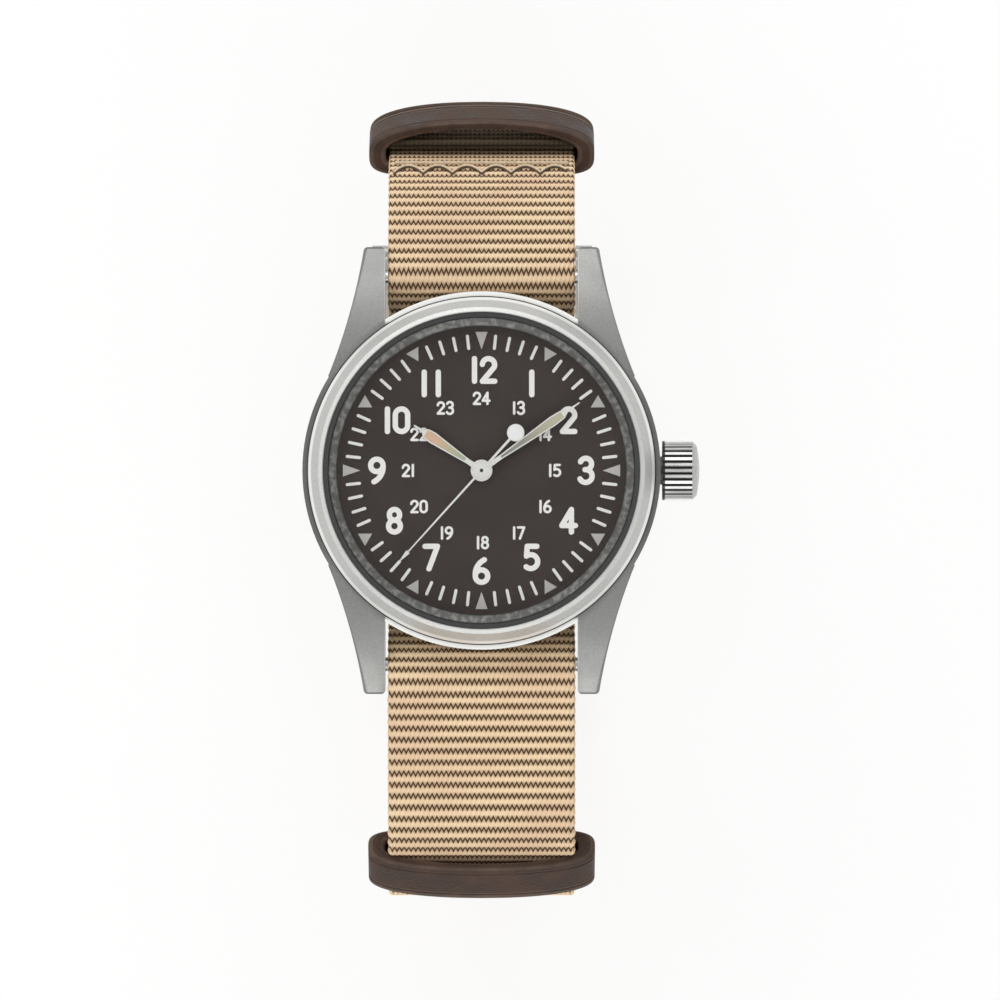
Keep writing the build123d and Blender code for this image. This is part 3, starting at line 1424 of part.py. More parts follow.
def keeper(rim, run, inner, outer, length):
    """A leather loop in the open part, around layers that leave its rim along a heading."""
    across = Plane(origin=(0, rim[0], rim[1]), x_dir=(1, 0, 0),
                   z_dir=(0, cos(radians(run)), sin(radians(run))))
    half_width = keeper_width / 2
    flat_half = half_width - keeper_end_inset
    side = 1 if across.y_dir.Y * rim[0] > 0 else -1
    shoulder = outer - keeper_bow
    with BuildSketch(across) as outline:
        with BuildLine():
            ThreePointArc((-flat_half, side * shoulder), (0, side * outer), (flat_half, side * shoulder))
            ThreePointArc((flat_half, side * shoulder), (half_width, side * (shoulder - inner) / 2),
                          (flat_half, -side * inner))
            Line((flat_half, -side * inner), (-flat_half, -side * inner))
            ThreePointArc((-flat_half, -side * inner), (-half_width, side * (shoulder - inner) / 2),
                          (-flat_half, side * shoulder))
        make_face()
        offset(amount=-leather_thickness, mode=Mode.SUBTRACT)
    extrude(outline.sketch, amount=length)


keeper_inner_6 = strap_thickness / 2 + layer_step + slip_gap + leather_thickness
keeper_outer_6 = strap_thickness / 2 + 4 * slip_gap + leather_thickness
keeper_outer_buckle = tail_reach - loop_reach_12 + strap_thickness / 2 + slip_gap + leather_thickness
keeper_buckle_share = 0.395
keeper_buckle_length = 4.2

with BuildPart() as keeper_upper:
    keeper(rim_12, upper_run, keeper_inner_12, keeper_outer_12, keeper_length)
finish_part(keeper_upper, "keeper_upper")

with BuildPart() as keeper_lower:
    keeper(rim_6, lower_run, keeper_inner_6, keeper_outer_6 + keeper_bow / 2, keeper_length)
finish_part(keeper_lower, "keeper_lower")

with BuildPart() as keeper_buckle:
    keeper((loop_reach_12, back_z - loop_height * keeper_buckle_share), -90,
           keeper_inner_12 + 2 * slip_gap, keeper_outer_buckle + keeper_bow, keeper_buckle_length)
finish_part(keeper_buckle, "keeper_buckle")

# Buckle: frame, pivot bar and tang
arm_gap = 0.25
arm_thickness = 1.5
arm_half = 0.95
front_bar_radius = 0.9
front_reach = 11.0
front_bar_out = fold_radius + layer_step + strap_thickness / 2 + slip_gap + front_bar_radius
frame_inner = half_strap + arm_gap
frame_outer = frame_inner + arm_thickness
notch_depth = 0.35
notch_floor = front_bar_out + front_bar_radius - notch_depth
pivot_ring = 1.25
front_at = at_buckle(front_reach, front_bar_out)

with BuildPart() as buckle_frame:
    for side in (1, -1):
        with BuildSketch(Plane.YZ.offset(side * frame_inner)) as arm:
            with BuildLine() as spine:
                Line(pivot_at, front_at)
            trace(spine.line, line_width=2 * arm_half)
            with Locations(pivot_at, front_at):
                Circle(arm_half)
        extrude(arm.sketch, amount=side * arm_thickness)
    rod(front_bar_radius, -frame_inner, frame_inner, front_at[1], y=front_at[0])
    rod(pivot_radius + running_clearance, -frame_outer - overrun, frame_outer + overrun, pivot_at[1],
        y=pivot_at[0], mode=Mode.SUBTRACT)
    with BuildSketch(Plane.YZ) as notch:
        with BuildLine():
            Polyline(at_buckle(front_reach - 2 * front_bar_radius, notch_floor),
                     at_buckle(front_reach + 2 * front_bar_radius, notch_floor),
                     at_buckle(front_reach + 2 * front_bar_radius, front_bar_out + 2 * front_bar_radius),
                     at_buckle(front_reach - 2 * front_bar_radius, front_bar_out + 2 * front_bar_radius),
                     close=True)
        make_face()
    extrude(notch.sketch, amount=tang_slot / 2, both=True, mode=Mode.SUBTRACT)
finish_part(buckle_frame, "buckle_frame")

bar_head = 0.3
with BuildPart() as buckle_bar:
    rod(pivot_radius, -frame_outer, frame_outer, pivot_at[1], y=pivot_at[0])
    for side in (1, -1):
        with BuildSketch(Plane.YZ.offset(side * frame_outer)) as head:
            with Locations(pivot_at):
                Circle(arm_half)
        extrude(head.sketch, amount=side * bar_head)
finish_part(buckle_bar, "buckle_bar")

tang_rest = notch_floor + tang_thickness / 2 + running_clearance
tang_root = 2.6
tang_rise = 3.3
tang_end = front_reach + front_bar_radius / 2
tang_bend = tang_thickness

with BuildPart() as buckle_tang:
    with BuildSketch(Plane.YZ) as prong:
        with BuildLine() as path:
            FilletPolyline(pivot_at, at_buckle(tang_root, fold_radius + slip_gap),
                           at_buckle(tang_rise, fold_radius + 2 * layer_step),
                           at_buckle(tang_rise + 2 * tang_thickness, tang_rest),
                           at_buckle(tang_end, tang_rest),
                           radius=tang_bend)
        trace(path.line, line_width=tang_thickness)
        with Locations(pivot_at):
            Circle(pivot_ring)
            Circle(pivot_radius + running_clearance, mode=Mode.SUBTRACT)
        with Locations(at_buckle(tang_end, tang_rest)):
            Circle(tang_thickness / 2)
    extrude(prong.sketch, amount=tang_width / 2, both=True)
finish_part(buckle_tang, "buckle_tang")
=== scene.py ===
from math import asin, atan2, cos, degrees, hypot, pi, radians, sin, tan

import bpy
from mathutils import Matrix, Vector


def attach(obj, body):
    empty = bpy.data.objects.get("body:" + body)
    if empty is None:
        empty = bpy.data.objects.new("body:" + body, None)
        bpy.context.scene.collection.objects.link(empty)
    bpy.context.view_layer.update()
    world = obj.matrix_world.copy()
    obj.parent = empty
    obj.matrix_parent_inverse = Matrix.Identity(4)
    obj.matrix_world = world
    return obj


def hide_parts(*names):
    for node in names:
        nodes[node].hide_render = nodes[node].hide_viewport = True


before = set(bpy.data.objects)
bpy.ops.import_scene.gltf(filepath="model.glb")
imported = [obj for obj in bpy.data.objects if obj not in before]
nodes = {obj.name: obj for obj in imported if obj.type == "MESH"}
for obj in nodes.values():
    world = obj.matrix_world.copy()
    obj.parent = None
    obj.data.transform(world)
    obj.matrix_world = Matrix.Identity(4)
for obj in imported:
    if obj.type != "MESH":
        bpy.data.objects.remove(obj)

# A field watch standing on its closed strap, seen from straight above, in the CAD's frame.
# Lamps, floor and clipping are in metres. All other lengths are in millimetres, and MM makes them
# metres.

MM = 0.001

for name in ("Cube", "Camera", "Light"):
    if name in bpy.data.objects:
        bpy.data.objects.remove(bpy.data.objects[name])
bpy.context.view_layer.update()

bpy.context.scene.view_settings.view_transform = "Standard"

# Strap: its layers, its loop below and beside the case, the spring bars that it wraps, its weave
strap_thickness = 1.15
half_strap = 10.0
loop_height = 47.0
loop_reach_12 = 35.9
loop_reach_6 = 45.07
layer_gap = 0.13
slip_gap = 0.12
bar_radius = 0.75
bar_reach = 20.6
bar_level = 2.2
bar_z = loop_height + bar_level
rib_pitch = 1.22
rib_depth = 0.16
rib_rows = 6
thread_pitch = 0.5
section_columns = 26

# Leather keepers
keeper_half_width = 12.1
keeper_length = 6.0
leather_thickness = 0.9
end_wall = 1.8

# Hands: the height of each upper face, how deep an inlay sits in it, and where each hand points,
# in degrees from 3 o'clock
hand_top = {"hour_hand": 53.5, "minute_hand": 53.82, "seconds_hand": 54.14}
inlay_seat = 0.01
hour_turn, minute_turn, seconds_turn = 90 - 303.8, 90 - 55.3, 90 - 222.1
# A blade's (share of its reach, share of its widest half width)
hand_shares = ((0, 0.55), (0.2, 0.42), (0.72, 1.0), (0.82, 0.85), (0.87, 0.25))


# Camera and light
def add_camera():
    """A long lens straight above the watch, framed as the photograph is."""
    view_width = 106.04
    lens = 400.0
    sensor = 36.0
    dial_height = 53.1
    centre_x, centre_y = 1.96, -3.13
    data = bpy.data.cameras.new("camera")
    data.lens = lens
    data.sensor_width = sensor
    data.clip_start = 0.01
    data.clip_end = 20
    camera = bpy.data.objects.new("camera", data)
    bpy.context.scene.collection.objects.link(camera)
    height = dial_height + view_width * lens / sensor
    camera.location = (centre_x * MM, centre_y * MM, height * MM)
    bpy.context.scene.camera = camera


def add_lamp(name, place, size, power):
    """A soft rectangular lamp that faces the watch."""
    target = Vector((0, 0, 0.045))
    data = bpy.data.lights.new(name, "AREA")
    data.shape = "RECTANGLE"
    data.size, data.size_y = size
    data.energy = power
    lamp = bpy.data.objects.new(name, data)
    lamp.location = place
    lamp.rotation_euler = (target - Vector(place)).to_track_quat("-Z", "Y").to_euler()
    bpy.context.scene.collection.objects.link(lamp)


def seen_directly(tree):
    """1 where a camera, glossy or transmitted ray looks, else 0."""
    path = tree.nodes.new("ShaderNodeLightPath")
    total = path.outputs["Is Camera Ray"]
    for kind in ("Is Glossy Ray", "Is Transmission Ray"):
        add = tree.nodes.new("ShaderNodeMath")
        add.operation = "ADD"
        add.use_clamp = True
        tree.links.new(total, add.inputs[0])
        tree.links.new(path.outputs[kind], add.inputs[1])
        total = add.outputs[0]
    return total


def mix_shaders(tree, share, first, second, output):
    """Sends the first shader to an output, and the second as far as the share says."""
    mix = tree.nodes.new("ShaderNodeMixShader")
    tree.links.new(share, mix.inputs["Fac"])
    tree.links.new(first.outputs[0], mix.inputs[1])
    tree.links.new(second.outputs[0], mix.inputs[2])
    tree.links.new(mix.outputs[0], output.inputs["Surface"])


def set_world():
    """White where it is seen or reflected, a dimmer white as light."""
    ambient = 0.52
    world = bpy.data.worlds.new("studio")
    world.use_nodes = True
    tree = world.node_tree
    glow = tree.nodes["Background"]
    glow.inputs["Color"].default_value = (1, 1, 1, 1)
    glow.inputs["Strength"].default_value = ambient
    seen = tree.nodes.new("ShaderNodeBackground")
    seen.inputs["Color"].default_value = (1, 1, 1, 1)
    seen.inputs["Strength"].default_value = 1.0
    mix_shaders(tree, seen_directly(tree), glow, seen, tree.nodes["World Output"])
    bpy.context.scene.world = world


def add_floor():
    """A plain white floor that keeps the watch's soft shadow."""
    reach = 4.0
    glow_share = 0.8
    mesh = bpy.data.meshes.new("floor")
    corners = [(-reach, -reach, 0), (reach, -reach, 0), (reach, reach, 0), (-reach, reach, 0)]
    mesh.from_pydata(corners, [], [(0, 1, 2, 3)])
    floor = bpy.data.objects.new("floor", mesh)
    bpy.context.scene.collection.objects.link(floor)
    material = bpy.data.materials.new("floor_white")
    material.use_nodes = True
    tree = material.node_tree
    tree.nodes.remove(tree.nodes["Principled BSDF"])
    matt = tree.nodes.new("ShaderNodeBsdfDiffuse")
    matt.inputs["Color"].default_value = (0.97, 0.97, 0.965, 1)
    glow = tree.nodes.new("ShaderNodeEmission")
    glow.inputs["Color"].default_value = (1, 1, 1, 1)
    glow.inputs["Strength"].default_value = 1.0
    share = tree.nodes.new("ShaderNodeMath")
    share.operation = "MULTIPLY"
    share.inputs[1].default_value = glow_share
    tree.links.new(seen_directly(tree), share.inputs[0])
    mix_shaders(tree, share.outputs[0], matt, glow, tree.nodes["Material Output"])
    mesh.materials.append(material)


# Materials
def shade(colour, factor):
    """A darker or lighter colour."""
    return [min(part * factor, 1) for part in colour]


class Paint:
    """A material with one principled shader, and short calls for its texture nodes."""

    def __init__(self, name, colour, roughness, metallic=0.0, **sockets):
        self.material = bpy.data.materials.new(name)
        self.material.use_nodes = True
        self.tree = self.material.node_tree
        self.shader = self.tree.nodes["Principled BSDF"]
        self.shader.inputs["Base Color"].default_value = (*colour, 1)
        self.shader.inputs["Roughness"].default_value = roughness
        self.shader.inputs["Metallic"].default_value = metallic
        for socket, value in sockets.items():
            self.shader.inputs[socket.replace("_", " ")].default_value = value
        self.place = self.node("ShaderNodeTexCoord").outputs["Object"]

    def node(self, kind, **settings):
        """A new node with these settings."""
        made = self.tree.nodes.new(kind)
        for key, value in settings.items():
            setattr(made, key, value)
        return made

    def feed(self, value, socket):
        """Links an output to a socket, or sets a number or colour on it."""
        if hasattr(value, "is_output"):
            self.tree.links.new(value, socket)
        else:
            socket.default_value = value

    def maths(self, operation, *values):
        """The result of a maths node."""
        made = self.node("ShaderNodeMath", operation=operation)
        for value, socket in zip(values, made.inputs):
            self.feed(value, socket)
        return made.outputs[0]

    def attribute(self, name):
        """A number that the mesh keeps at each of its points."""
        return self.node("ShaderNodeAttribute", attribute_name=name).outputs["Fac"]

    def stretched(self, x, y, z):
        """Object coordinates in millimetres, squeezed along each axis."""
        mapping = self.node("ShaderNodeMapping")
        self.tree.links.new(self.place, mapping.inputs["Vector"])
        mapping.inputs["Scale"].default_value = (x / MM, y / MM, z / MM)
        return mapping.outputs["Vector"]

    def axes(self):
        """The object's own x, y and z in millimetres."""
        split = self.node("ShaderNodeSeparateXYZ")
        self.tree.links.new(self.stretched(1, 1, 1), split.inputs[0])
        return split.outputs[0], split.outputs[1], split.outputs[2]

    def sides(self):
        """How far out a point lies from the middle along x and along y, whatever the side."""
        x, y, _ = self.axes()
        return self.maths("ABSOLUTE", x), self.maths("ABSOLUTE", y)

    def reach(self, first, second):
        """The length of a vector with these two parts."""
        return self.maths("SQRT", self.maths("ADD", self.maths("MULTIPLY", first, first),
                                             self.maths("MULTIPLY", second, second)))

    def from_centre(self):
        """How far a point lies from the watch's upright centre line."""
        x, y, _ = self.axes()
        return self.reach(x, y)

    def noise(self, per_mm, detail=3.0, where=None):
        """Cloudy noise from 0 to 1."""
        made = self.node("ShaderNodeTexNoise")
        made.inputs["Scale"].default_value = per_mm
        made.inputs["Detail"].default_value = detail
        self.tree.links.new(where or self.stretched(1, 1, 1), made.inputs["Vector"])
        return made.outputs["Fac"]

    def cells(self, per_mm):
        """Distance from the middles of soft cells."""
        made = self.node("ShaderNodeTexVoronoi", feature="SMOOTH_F1")
        made.inputs["Scale"].default_value = per_mm
        self.tree.links.new(self.stretched(1, 1, 1), made.inputs["Vector"])
        return made.outputs["Distance"]

    def spread(self, value, low, high, to_low=0.0, to_high=1.0):
        """Maps low..high onto to_low..to_high, smoothly and without overshoot."""
        made = self.node("ShaderNodeMapRange", interpolation_type="SMOOTHSTEP")
        for number, socket in zip((value, low, high, to_low, to_high), made.inputs):
            self.feed(number, socket)
        return made.outputs["Result"]

    def band(self, value, rise, fall):
        """1 between a soft rise and a soft fall, each a (low, high), and 0 outside them."""
        return self.maths("MULTIPLY", self.spread(value, *rise),
                          self.spread(value, *fall, 1.0, 0.0))

    def mixed(self, share, first, second):
        """A colour between two others."""
        first_socket, second_socket, result = 6, 7, 2
        made = self.node("ShaderNodeMix", data_type="RGBA")
        self.feed(share, made.inputs["Factor"])
        for value, socket in ((first, first_socket), (second, second_socket)):
            colour = value if hasattr(value, "is_output") else (*value[:3], 1)
            self.feed(colour, made.inputs[socket])
        return made.outputs[result]

    def accented(self, skin, accents):
        """A skin with other tints over it, where each accent's mask asks for its tint."""
        for mask, tint in accents:
            skin = self.mixed(mask(self), skin, tint)
        return skin

    def colour_from(self, value):
        self.feed(value, self.shader.inputs["Base Color"])

    def roughness_from(self, value):
        self.feed(value, self.shader.inputs["Roughness"])

    def bump(self, height, depth):
        """Relief of so many millimetres."""
        made = self.node("ShaderNodeBump")
        made.inputs["Distance"].default_value = depth * MM
        made.inputs["Strength"].default_value = 1.0
        self.feed(height, made.inputs["Height"])
        self.feed(made.outputs["Normal"], self.shader.inputs["Normal"])


def lug_inner_highlight(paint):
    """A painted highlight along the edge beside the strap on each lug."""
    edge_start, edge_end = 10.16, 10.3
    root_start, root_end = 15.4, 15.9
    across, along = paint.sides()
    return paint.maths("MULTIPLY", paint.spread(across, edge_start, edge_end, 1.0, 0.0),
                       paint.spread(along, root_start, root_end))


def lug_tip_shade(paint):
    """Painted shade on the rounded end of each lug."""
    tip_start, tip_end = 23.5, 23.66
    return paint.spread(paint.sides()[1], tip_start, tip_end, 0.0, 0.9)


def lug_outer_shade(paint):
    """Painted shade along the edge of the hollow flank of each lug."""
    centre_x, centre_y, flank_radius = 95.37, 40.67, 84.82
    root, tip = 12.0, 22.0
    across, along = paint.sides()
    from_arc_centre = paint.reach(paint.maths("SUBTRACT", across, centre_x),
                                  paint.maths("SUBTRACT", along, centre_y))
    edge = paint.spread(from_arc_centre, flank_radius + 0.05, flank_radius + 0.22, 1.0, 0.0)
    return paint.maths("MULTIPLY", edge, paint.spread(along, root, tip, 0.2, 0.8))


def case_flank_shade(paint):
    """Painted shade on the flank that turns away at 3 and 9."""
    flank_start, flank_end = 14.5, 18.4
    return paint.spread(paint.sides()[0], flank_start, flank_end, 0.0, 0.75)


def bezel_edge_highlight(paint):
    """A painted highlight on the outer edge of the bezel."""
    edge_start, edge_end = 18.0, 18.15
    return paint.spread(paint.from_centre(), edge_start, edge_end)


def bezel_seam_shade(paint):
    """Painted shade in the seam between the bezel and the case."""
    seam_start, seam_end = 18.36, 18.4
    return paint.spread(paint.from_centre(), seam_start, seam_end)


def knurl_shade(paint):
    """Painted shade in the hollows between the crown's ribs, and on the shaded rim at the case."""
    stem_z, hollow_radius, rib_radius = 50.4, 3.05, 3.13
    rim_x, knurl_end = 19.42, 22.36
    blend = 0.1
    x, y, z = paint.axes()
    radius = paint.reach(y, paint.maths("SUBTRACT", z, stem_z))
    hollow = paint.maths("MULTIPLY", paint.spread(radius, hollow_radius, rib_radius, 1.0, 0.0),
                         paint.spread(x, knurl_end, knurl_end + blend, 1.0, 0.0))
    return paint.maths("MAXIMUM", hollow, paint.spread(x, rim_x, rim_x + blend, 0.95, 0.0))


def blasted(name, colour, roughness, depth=0.0025, accents=()):
    """Steel with a fine bead-blasted skin and faint cloudy wear, and other tints by accents."""
    paint = Paint(name, colour, roughness, 1.0)
    fine = paint.noise(8.0, 2.0)
    cloud = paint.noise(0.25, 4.0)
    speckle = paint.mixed(paint.spread(fine, 0.35, 0.65), shade(colour, 0.9), shade(colour, 1.08))
    skin = paint.mixed(paint.spread(cloud, 0.35, 0.75, 0.0, 0.35), speckle, colour)
    paint.colour_from(paint.accented(skin, accents))
    paint.roughness_from(paint.spread(cloud, 0.3, 0.7, roughness - 0.05, roughness + 0.06))
    paint.bump(fine, depth)
    return paint.material


def brushed(name, colour, roughness, along=(0.4, 14, 14), accents=()):
    """Metal with fine parallel brush lines, and other tints by accents."""
    paint = Paint(name, colour, roughness, 1.0)
    lines = paint.noise(1.0, 5.0, paint.stretched(*along))
    skin = paint.mixed(paint.spread(lines, 0.3, 0.7), shade(colour, 0.8), shade(colour, 1.12))
    paint.colour_from(paint.accented(skin, accents))
    paint.roughness_from(paint.spread(lines, 0.3, 0.7, roughness - 0.06, roughness + 0.08))
    paint.bump(lines, 0.004)
    return paint.material


def printed(name, colour, roughness=0.6, grain=6.0):
    """Thick matt paint or luminous paste with a slight grain."""
    paint = Paint(name, colour, roughness)
    fine = paint.noise(grain, 3.0)
    paint.colour_from(paint.mixed(paint.spread(fine, 0.3, 0.7), shade(colour, 0.93), colour))
    paint.bump(fine, 0.008)
    return paint.material


def lume_strip(name, near, far, start, end, turn):
    """Luminous paste on a hand, whose colour changes between two places along it."""
    paint = Paint(name, near, 0.55)
    x, y, _ = paint.axes()
    along = paint.maths("ADD", paint.maths("MULTIPLY", x, cos(radians(turn))),
                        paint.maths("MULTIPLY", y, sin(radians(turn))))
    grain = paint.noise(5.0, 3.0)
    shift = paint.maths("ADD", along, paint.maths("MULTIPLY", grain, 0.8))
    paint.colour_from(paint.mixed(paint.spread(shift, start, end), near, far))
    paint.bump(grain, 0.02)
    return paint.material


def woven():
    """Ribbed nylon: smooth bars across the strap, with a painted highlight on their crests and dark
    zigzag rows of painted shade in the thread gaps between.
    """
    bright = (0.9, 0.69, 0.45)
    tan_mid = (0.6, 0.42, 0.25)
    rosy = (0.66, 0.42, 0.28)
    gap_shade_brown = (0.06, 0.033, 0.015)
    end_shade_brown = (0.045, 0.032, 0.018)
    zigzag_top, zigzag_swing = 0.2, 0.8
    gap_core, gap_edge = 0.09, 0.18
    paint = Paint("strap_weave", tan_mid, 0.62, Specular_IOR_Level=0.2)
    ribs = paint.maths("ADD", paint.attribute("run"), 0.5)
    from_gap = paint.maths("SUBTRACT", paint.maths("FRACT", ribs), 0.5)
    wobble = paint.maths("MULTIPLY", paint.maths("SUBTRACT", paint.noise(1.1, 2.0), 0.5), 0.12)
    thread = paint.maths("PINGPONG", paint.attribute("across"), 0.5)
    zigzag = paint.maths("SUBTRACT", zigzag_top, paint.maths("MULTIPLY", thread, zigzag_swing))
    uneven = paint.maths("ADD", from_gap, wobble)
    away = paint.maths("ABSOLUTE", paint.maths("SUBTRACT", uneven, zigzag))
    gap = paint.spread(away, gap_core, gap_edge, 1.0, 0.0)
    # The rib crests turn lighter: a painted highlight.
    crest = paint.maths("ABSOLUTE", from_gap)
    lit = paint.mixed(paint.spread(crest, 0.12, 0.42), tan_mid, bright)
    strands = paint.noise(1.0, 3.0, paint.stretched(9, 1.5, 1.5))
    worn = paint.mixed(paint.spread(strands, 0.3, 0.7, 0.0, 0.22), lit, tan_mid)
    cloud = paint.noise(0.12, 3.0)
    hue = paint.mixed(paint.spread(cloud, 0.4, 0.65, 0.0, 0.35), worn, rosy)
    # Painted shade in the thread gaps.
    open_weave = paint.mixed(paint.maths("MULTIPLY", gap, 0.95), hue, gap_shade_brown)
    # Painted shade darkens the strap towards its ends.
    paint.colour_from(paint.mixed(paint.attribute("end_shade"), open_weave, end_shade_brown))
    rounded = paint.spread(thread, 0.0, 0.5, 0.0, 0.35)
    paint.bump(paint.maths("SUBTRACT", paint.maths("ADD", 0.6, rounded),
                           paint.maths("MULTIPLY", gap, 0.9)), 0.16)
    return paint.material


def sewing(name, colour):
    """Twisted sewing thread."""
    paint = Paint(name, colour, 0.7, Sheen_Weight=0.2)
    twist = paint.noise(1.0, 2.0, paint.stretched(8, 3, 3))
    paint.colour_from(paint.mixed(paint.spread(twist, 0.35, 0.65), shade(colour, 0.72), colour))
    paint.bump(twist, 0.05)
    return paint.material


def hide(name, colour):
    """Dyed leather with pores, soft clouding and small creases."""
    roughness = 0.5
    paint = Paint(name, colour, roughness, Specular_IOR_Level=0.16)
    pores = paint.cells(2.6)
    cloud = paint.noise(0.35, 5.0)
    creases = paint.noise(1.3, 4.0)
    dark = shade(colour, 0.75)
    tone = paint.mixed(paint.spread(cloud, 0.35, 0.7), dark, shade(colour, 1.35))
    paint.colour_from(paint.mixed(paint.spread(creases, 0.6, 0.75, 0.0, 0.3), tone, dark))
    paint.roughness_from(paint.spread(cloud, 0.3, 0.7, roughness - 0.08, roughness + 0.12))
    paint.bump(paint.maths("ADD", paint.spread(pores, 0.0, 0.5),
                           paint.maths("MULTIPLY", creases, 0.8)), 0.03)
    return paint.material


def dial_paint():
    """Matt dark brown dial with a fine grain."""
    dark = (0.036, 0.0255, 0.0215)
    light = (0.052, 0.038, 0.0325)
    paint = Paint("dial_brown", dark, 0.72, Specular_IOR_Level=0.25)
    fine = paint.noise(7.0, 4.0)
    cloud = paint.noise(0.15, 2.0)
    both = paint.maths("ADD", paint.spread(fine, 0.3, 0.7), paint.spread(cloud, 0.35, 0.65))
    paint.colour_from(paint.mixed(paint.maths("MULTIPLY", both, 0.5), dark, light))
    paint.bump(fine, 0.006)
    return paint.material


def ring_paint():
    """Satin flange ring: a grey slope streaked with painted reflection, between a foot darkened with
    painted shadow and a dark band with a line.
    """
    dark = (0.035, 0.035, 0.034)
    grey = (0.2, 0.2, 0.19)
    reflection_pale = (0.42, 0.42, 0.4)
    foot_end, slope_end = 15.32, 16.15
    line_start, line_end = (16.38, 16.46), (16.52, 16.6)
    paint = Paint("flange_grey", dark, 0.34, 0.8)
    # Painted shadow at the foot, inside foot_end, and painted reflection on the grey slope.
    radius = paint.from_centre()
    reflection_streaks = paint.noise(1.0, 4.0, paint.stretched(1.6, 1.6, 0.5))
    slope = paint.mixed(paint.spread(reflection_streaks, 0.42, 0.68), grey, reflection_pale)
    on_slope = paint.band(radius, (foot_end - 0.05, foot_end + 0.2),
                          (slope_end - 0.1, slope_end + 0.1))
    base = paint.mixed(on_slope, dark, slope)
    line = paint.maths("MULTIPLY", paint.band(radius, line_start, line_end), 0.6)
    paint.colour_from(paint.mixed(line, base, grey))
    paint.bump(paint.noise(4.0), 0.003)
    return paint.material


def rubber():
    """Black gasket rubber."""
    paint = Paint("gasket_rubber", (0.02, 0.02, 0.02), 0.6)
    fine = paint.noise(3.0)
    paint.colour_from(paint.mixed(fine, (0.015, 0.015, 0.015), (0.035, 0.035, 0.035)))
    paint.bump(fine, 0.01)
    return paint.material


def ruby():
    """Polished synthetic ruby."""
    paint = Paint("ruby", (0.5, 0.02, 0.08), 0.1, IOR=1.76)
    paint.colour_from(paint.mixed(paint.noise(1.5), (0.42, 0.012, 0.05), (0.62, 0.03, 0.11)))
    return paint.material


def sapphire():
    """Clear sapphire with an anti-reflection coat."""
    paint = Paint("sapphire", (0.03, 0.035, 0.04), 0.03, Alpha=0.07)
    paint.roughness_from(paint.spread(paint.noise(0.1), 0.3, 0.7, 0.02, 0.05))
    return paint.material


def give(names, *materials):
    """Puts materials on CAD nodes, in place of their own."""
    for node in names:
        mesh = nodes[node].data
        mesh.materials.clear()
        for material in materials:
            mesh.materials.append(material)


def colour_markers(numeral_paint, bar_paint, triangle_paint):
    """Paints the numerals, the minute bars outside them, and the triangles at the hours."""
    track_radius = 12.75
    half_wedge = 3.4
    give(("dial_markers",), numeral_paint, bar_paint, triangle_paint)
    for polygon in nodes["dial_markers"].data.polygons:
        x, y = polygon.center.x / MM, polygon.center.y / MM
        if hypot(x, y) < track_radius:
            continue
        off_hour = (degrees(atan2(y, x)) + 15) % 30 - 15
        polygon.material_index = 2 if abs(off_hour) < half_wedge else 1


# Mesh helpers
def make_piece(name, points, faces, materials, body, attributes=None):
    """A smooth mesh piece that rides on a body and takes a material slot."""
    mesh = bpy.data.meshes.new(name)
    mesh.from_pydata([(x * MM, y * MM, z * MM) for x, y, z in points], [], faces)
    for material in materials:
        mesh.materials.append(material)
    for key, values in (attributes or {}).items():
        layer = mesh.attributes.new(key, "FLOAT", "POINT")
        layer.data.foreach_set("value", values)
    for polygon in mesh.polygons:
        polygon.use_smooth = True
    mesh.update()
    piece = bpy.data.objects.new(name, mesh)
    bpy.context.scene.collection.objects.link(piece)
    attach(piece, body)
    return piece


def tube_faces(rings, size, closed=False):
    """Quads between rings of points, the rings in a row or in a closed loop."""
    faces = []
    for ring in range(rings if closed else rings - 1):
        after = (ring + 1) % rings
        for spot in range(size):
            beside = (spot + 1) % size
            faces.append((ring * size + spot, ring * size + beside,
                          after * size + beside, after * size + spot))
    return faces


# The strap's course, in the plane of Y and Z, worked out from the loop and the spring bars
def crossing(start, start_angle, end, end_angle):
    """Where two lines meet, each given by a point and a heading in degrees."""
    ay, az = cos(radians(start_angle)), sin(radians(start_angle))
    by, bz = cos(radians(end_angle)), sin(radians(end_angle))
    along = ((end[0] - start[0]) * bz - (end[1] - start[1]) * by) / (ay * bz - az * by)
    return (start[0] + along * ay, start[1] + along * az)


def heading(start, end):
    """Heading in degrees from one point to the next."""
    return degrees(atan2(end[1] - start[1], end[0] - start[0]))


def ahead(point, angle, distance):
    """A point moved along a heading."""
    return (point[0] + distance * cos(radians(angle)), point[1] + distance * sin(radians(angle)))


def shifted(point, angle, left):
    """A point moved to the left of a heading."""
    return ahead(point, angle + 90, left)


def offset_corner(before, corner, after, left):
    """The corner of a path that runs beside another path, to its left."""
    first, second = heading(before, corner), heading(corner, after)
    return crossing(shifted(corner, first, left), first, shifted(corner, second, left), second)


def bend_radii(corners, limits):
    """A radius for each inner corner, as large as its runs allow, or as the limits ask."""
    bend_share = 0.45
    radii = []
    for place in range(1, len(corners) - 1):
        before, corner, after = corners[place - 1:place + 2]
        turn = abs(heading(before, corner) - heading(corner, after)) % 360
        turn = min(turn, 360 - turn)
        shorter = min(hypot(corner[0] - before[0], corner[1] - before[1]),
                      hypot(after[0] - corner[0], after[1] - corner[1]))
        radius = bend_share * shorter / tan(radians(turn / 2))
        radii.append(min(radius, limits.get(place, radius)))
    return radii


def loop_place(y_share, z_share, reach):
    """A corner as shares of the loop's reach and height, counted down from the case back."""
    return (reach * y_share, loop_height * (1 - z_share))


layer_step = strap_thickness + layer_gap
wrap_radius = bar_radius + slip_gap + strap_thickness / 2
main_under_z = loop_height - layer_gap - strap_thickness / 2
short_under_z = main_under_z - layer_step

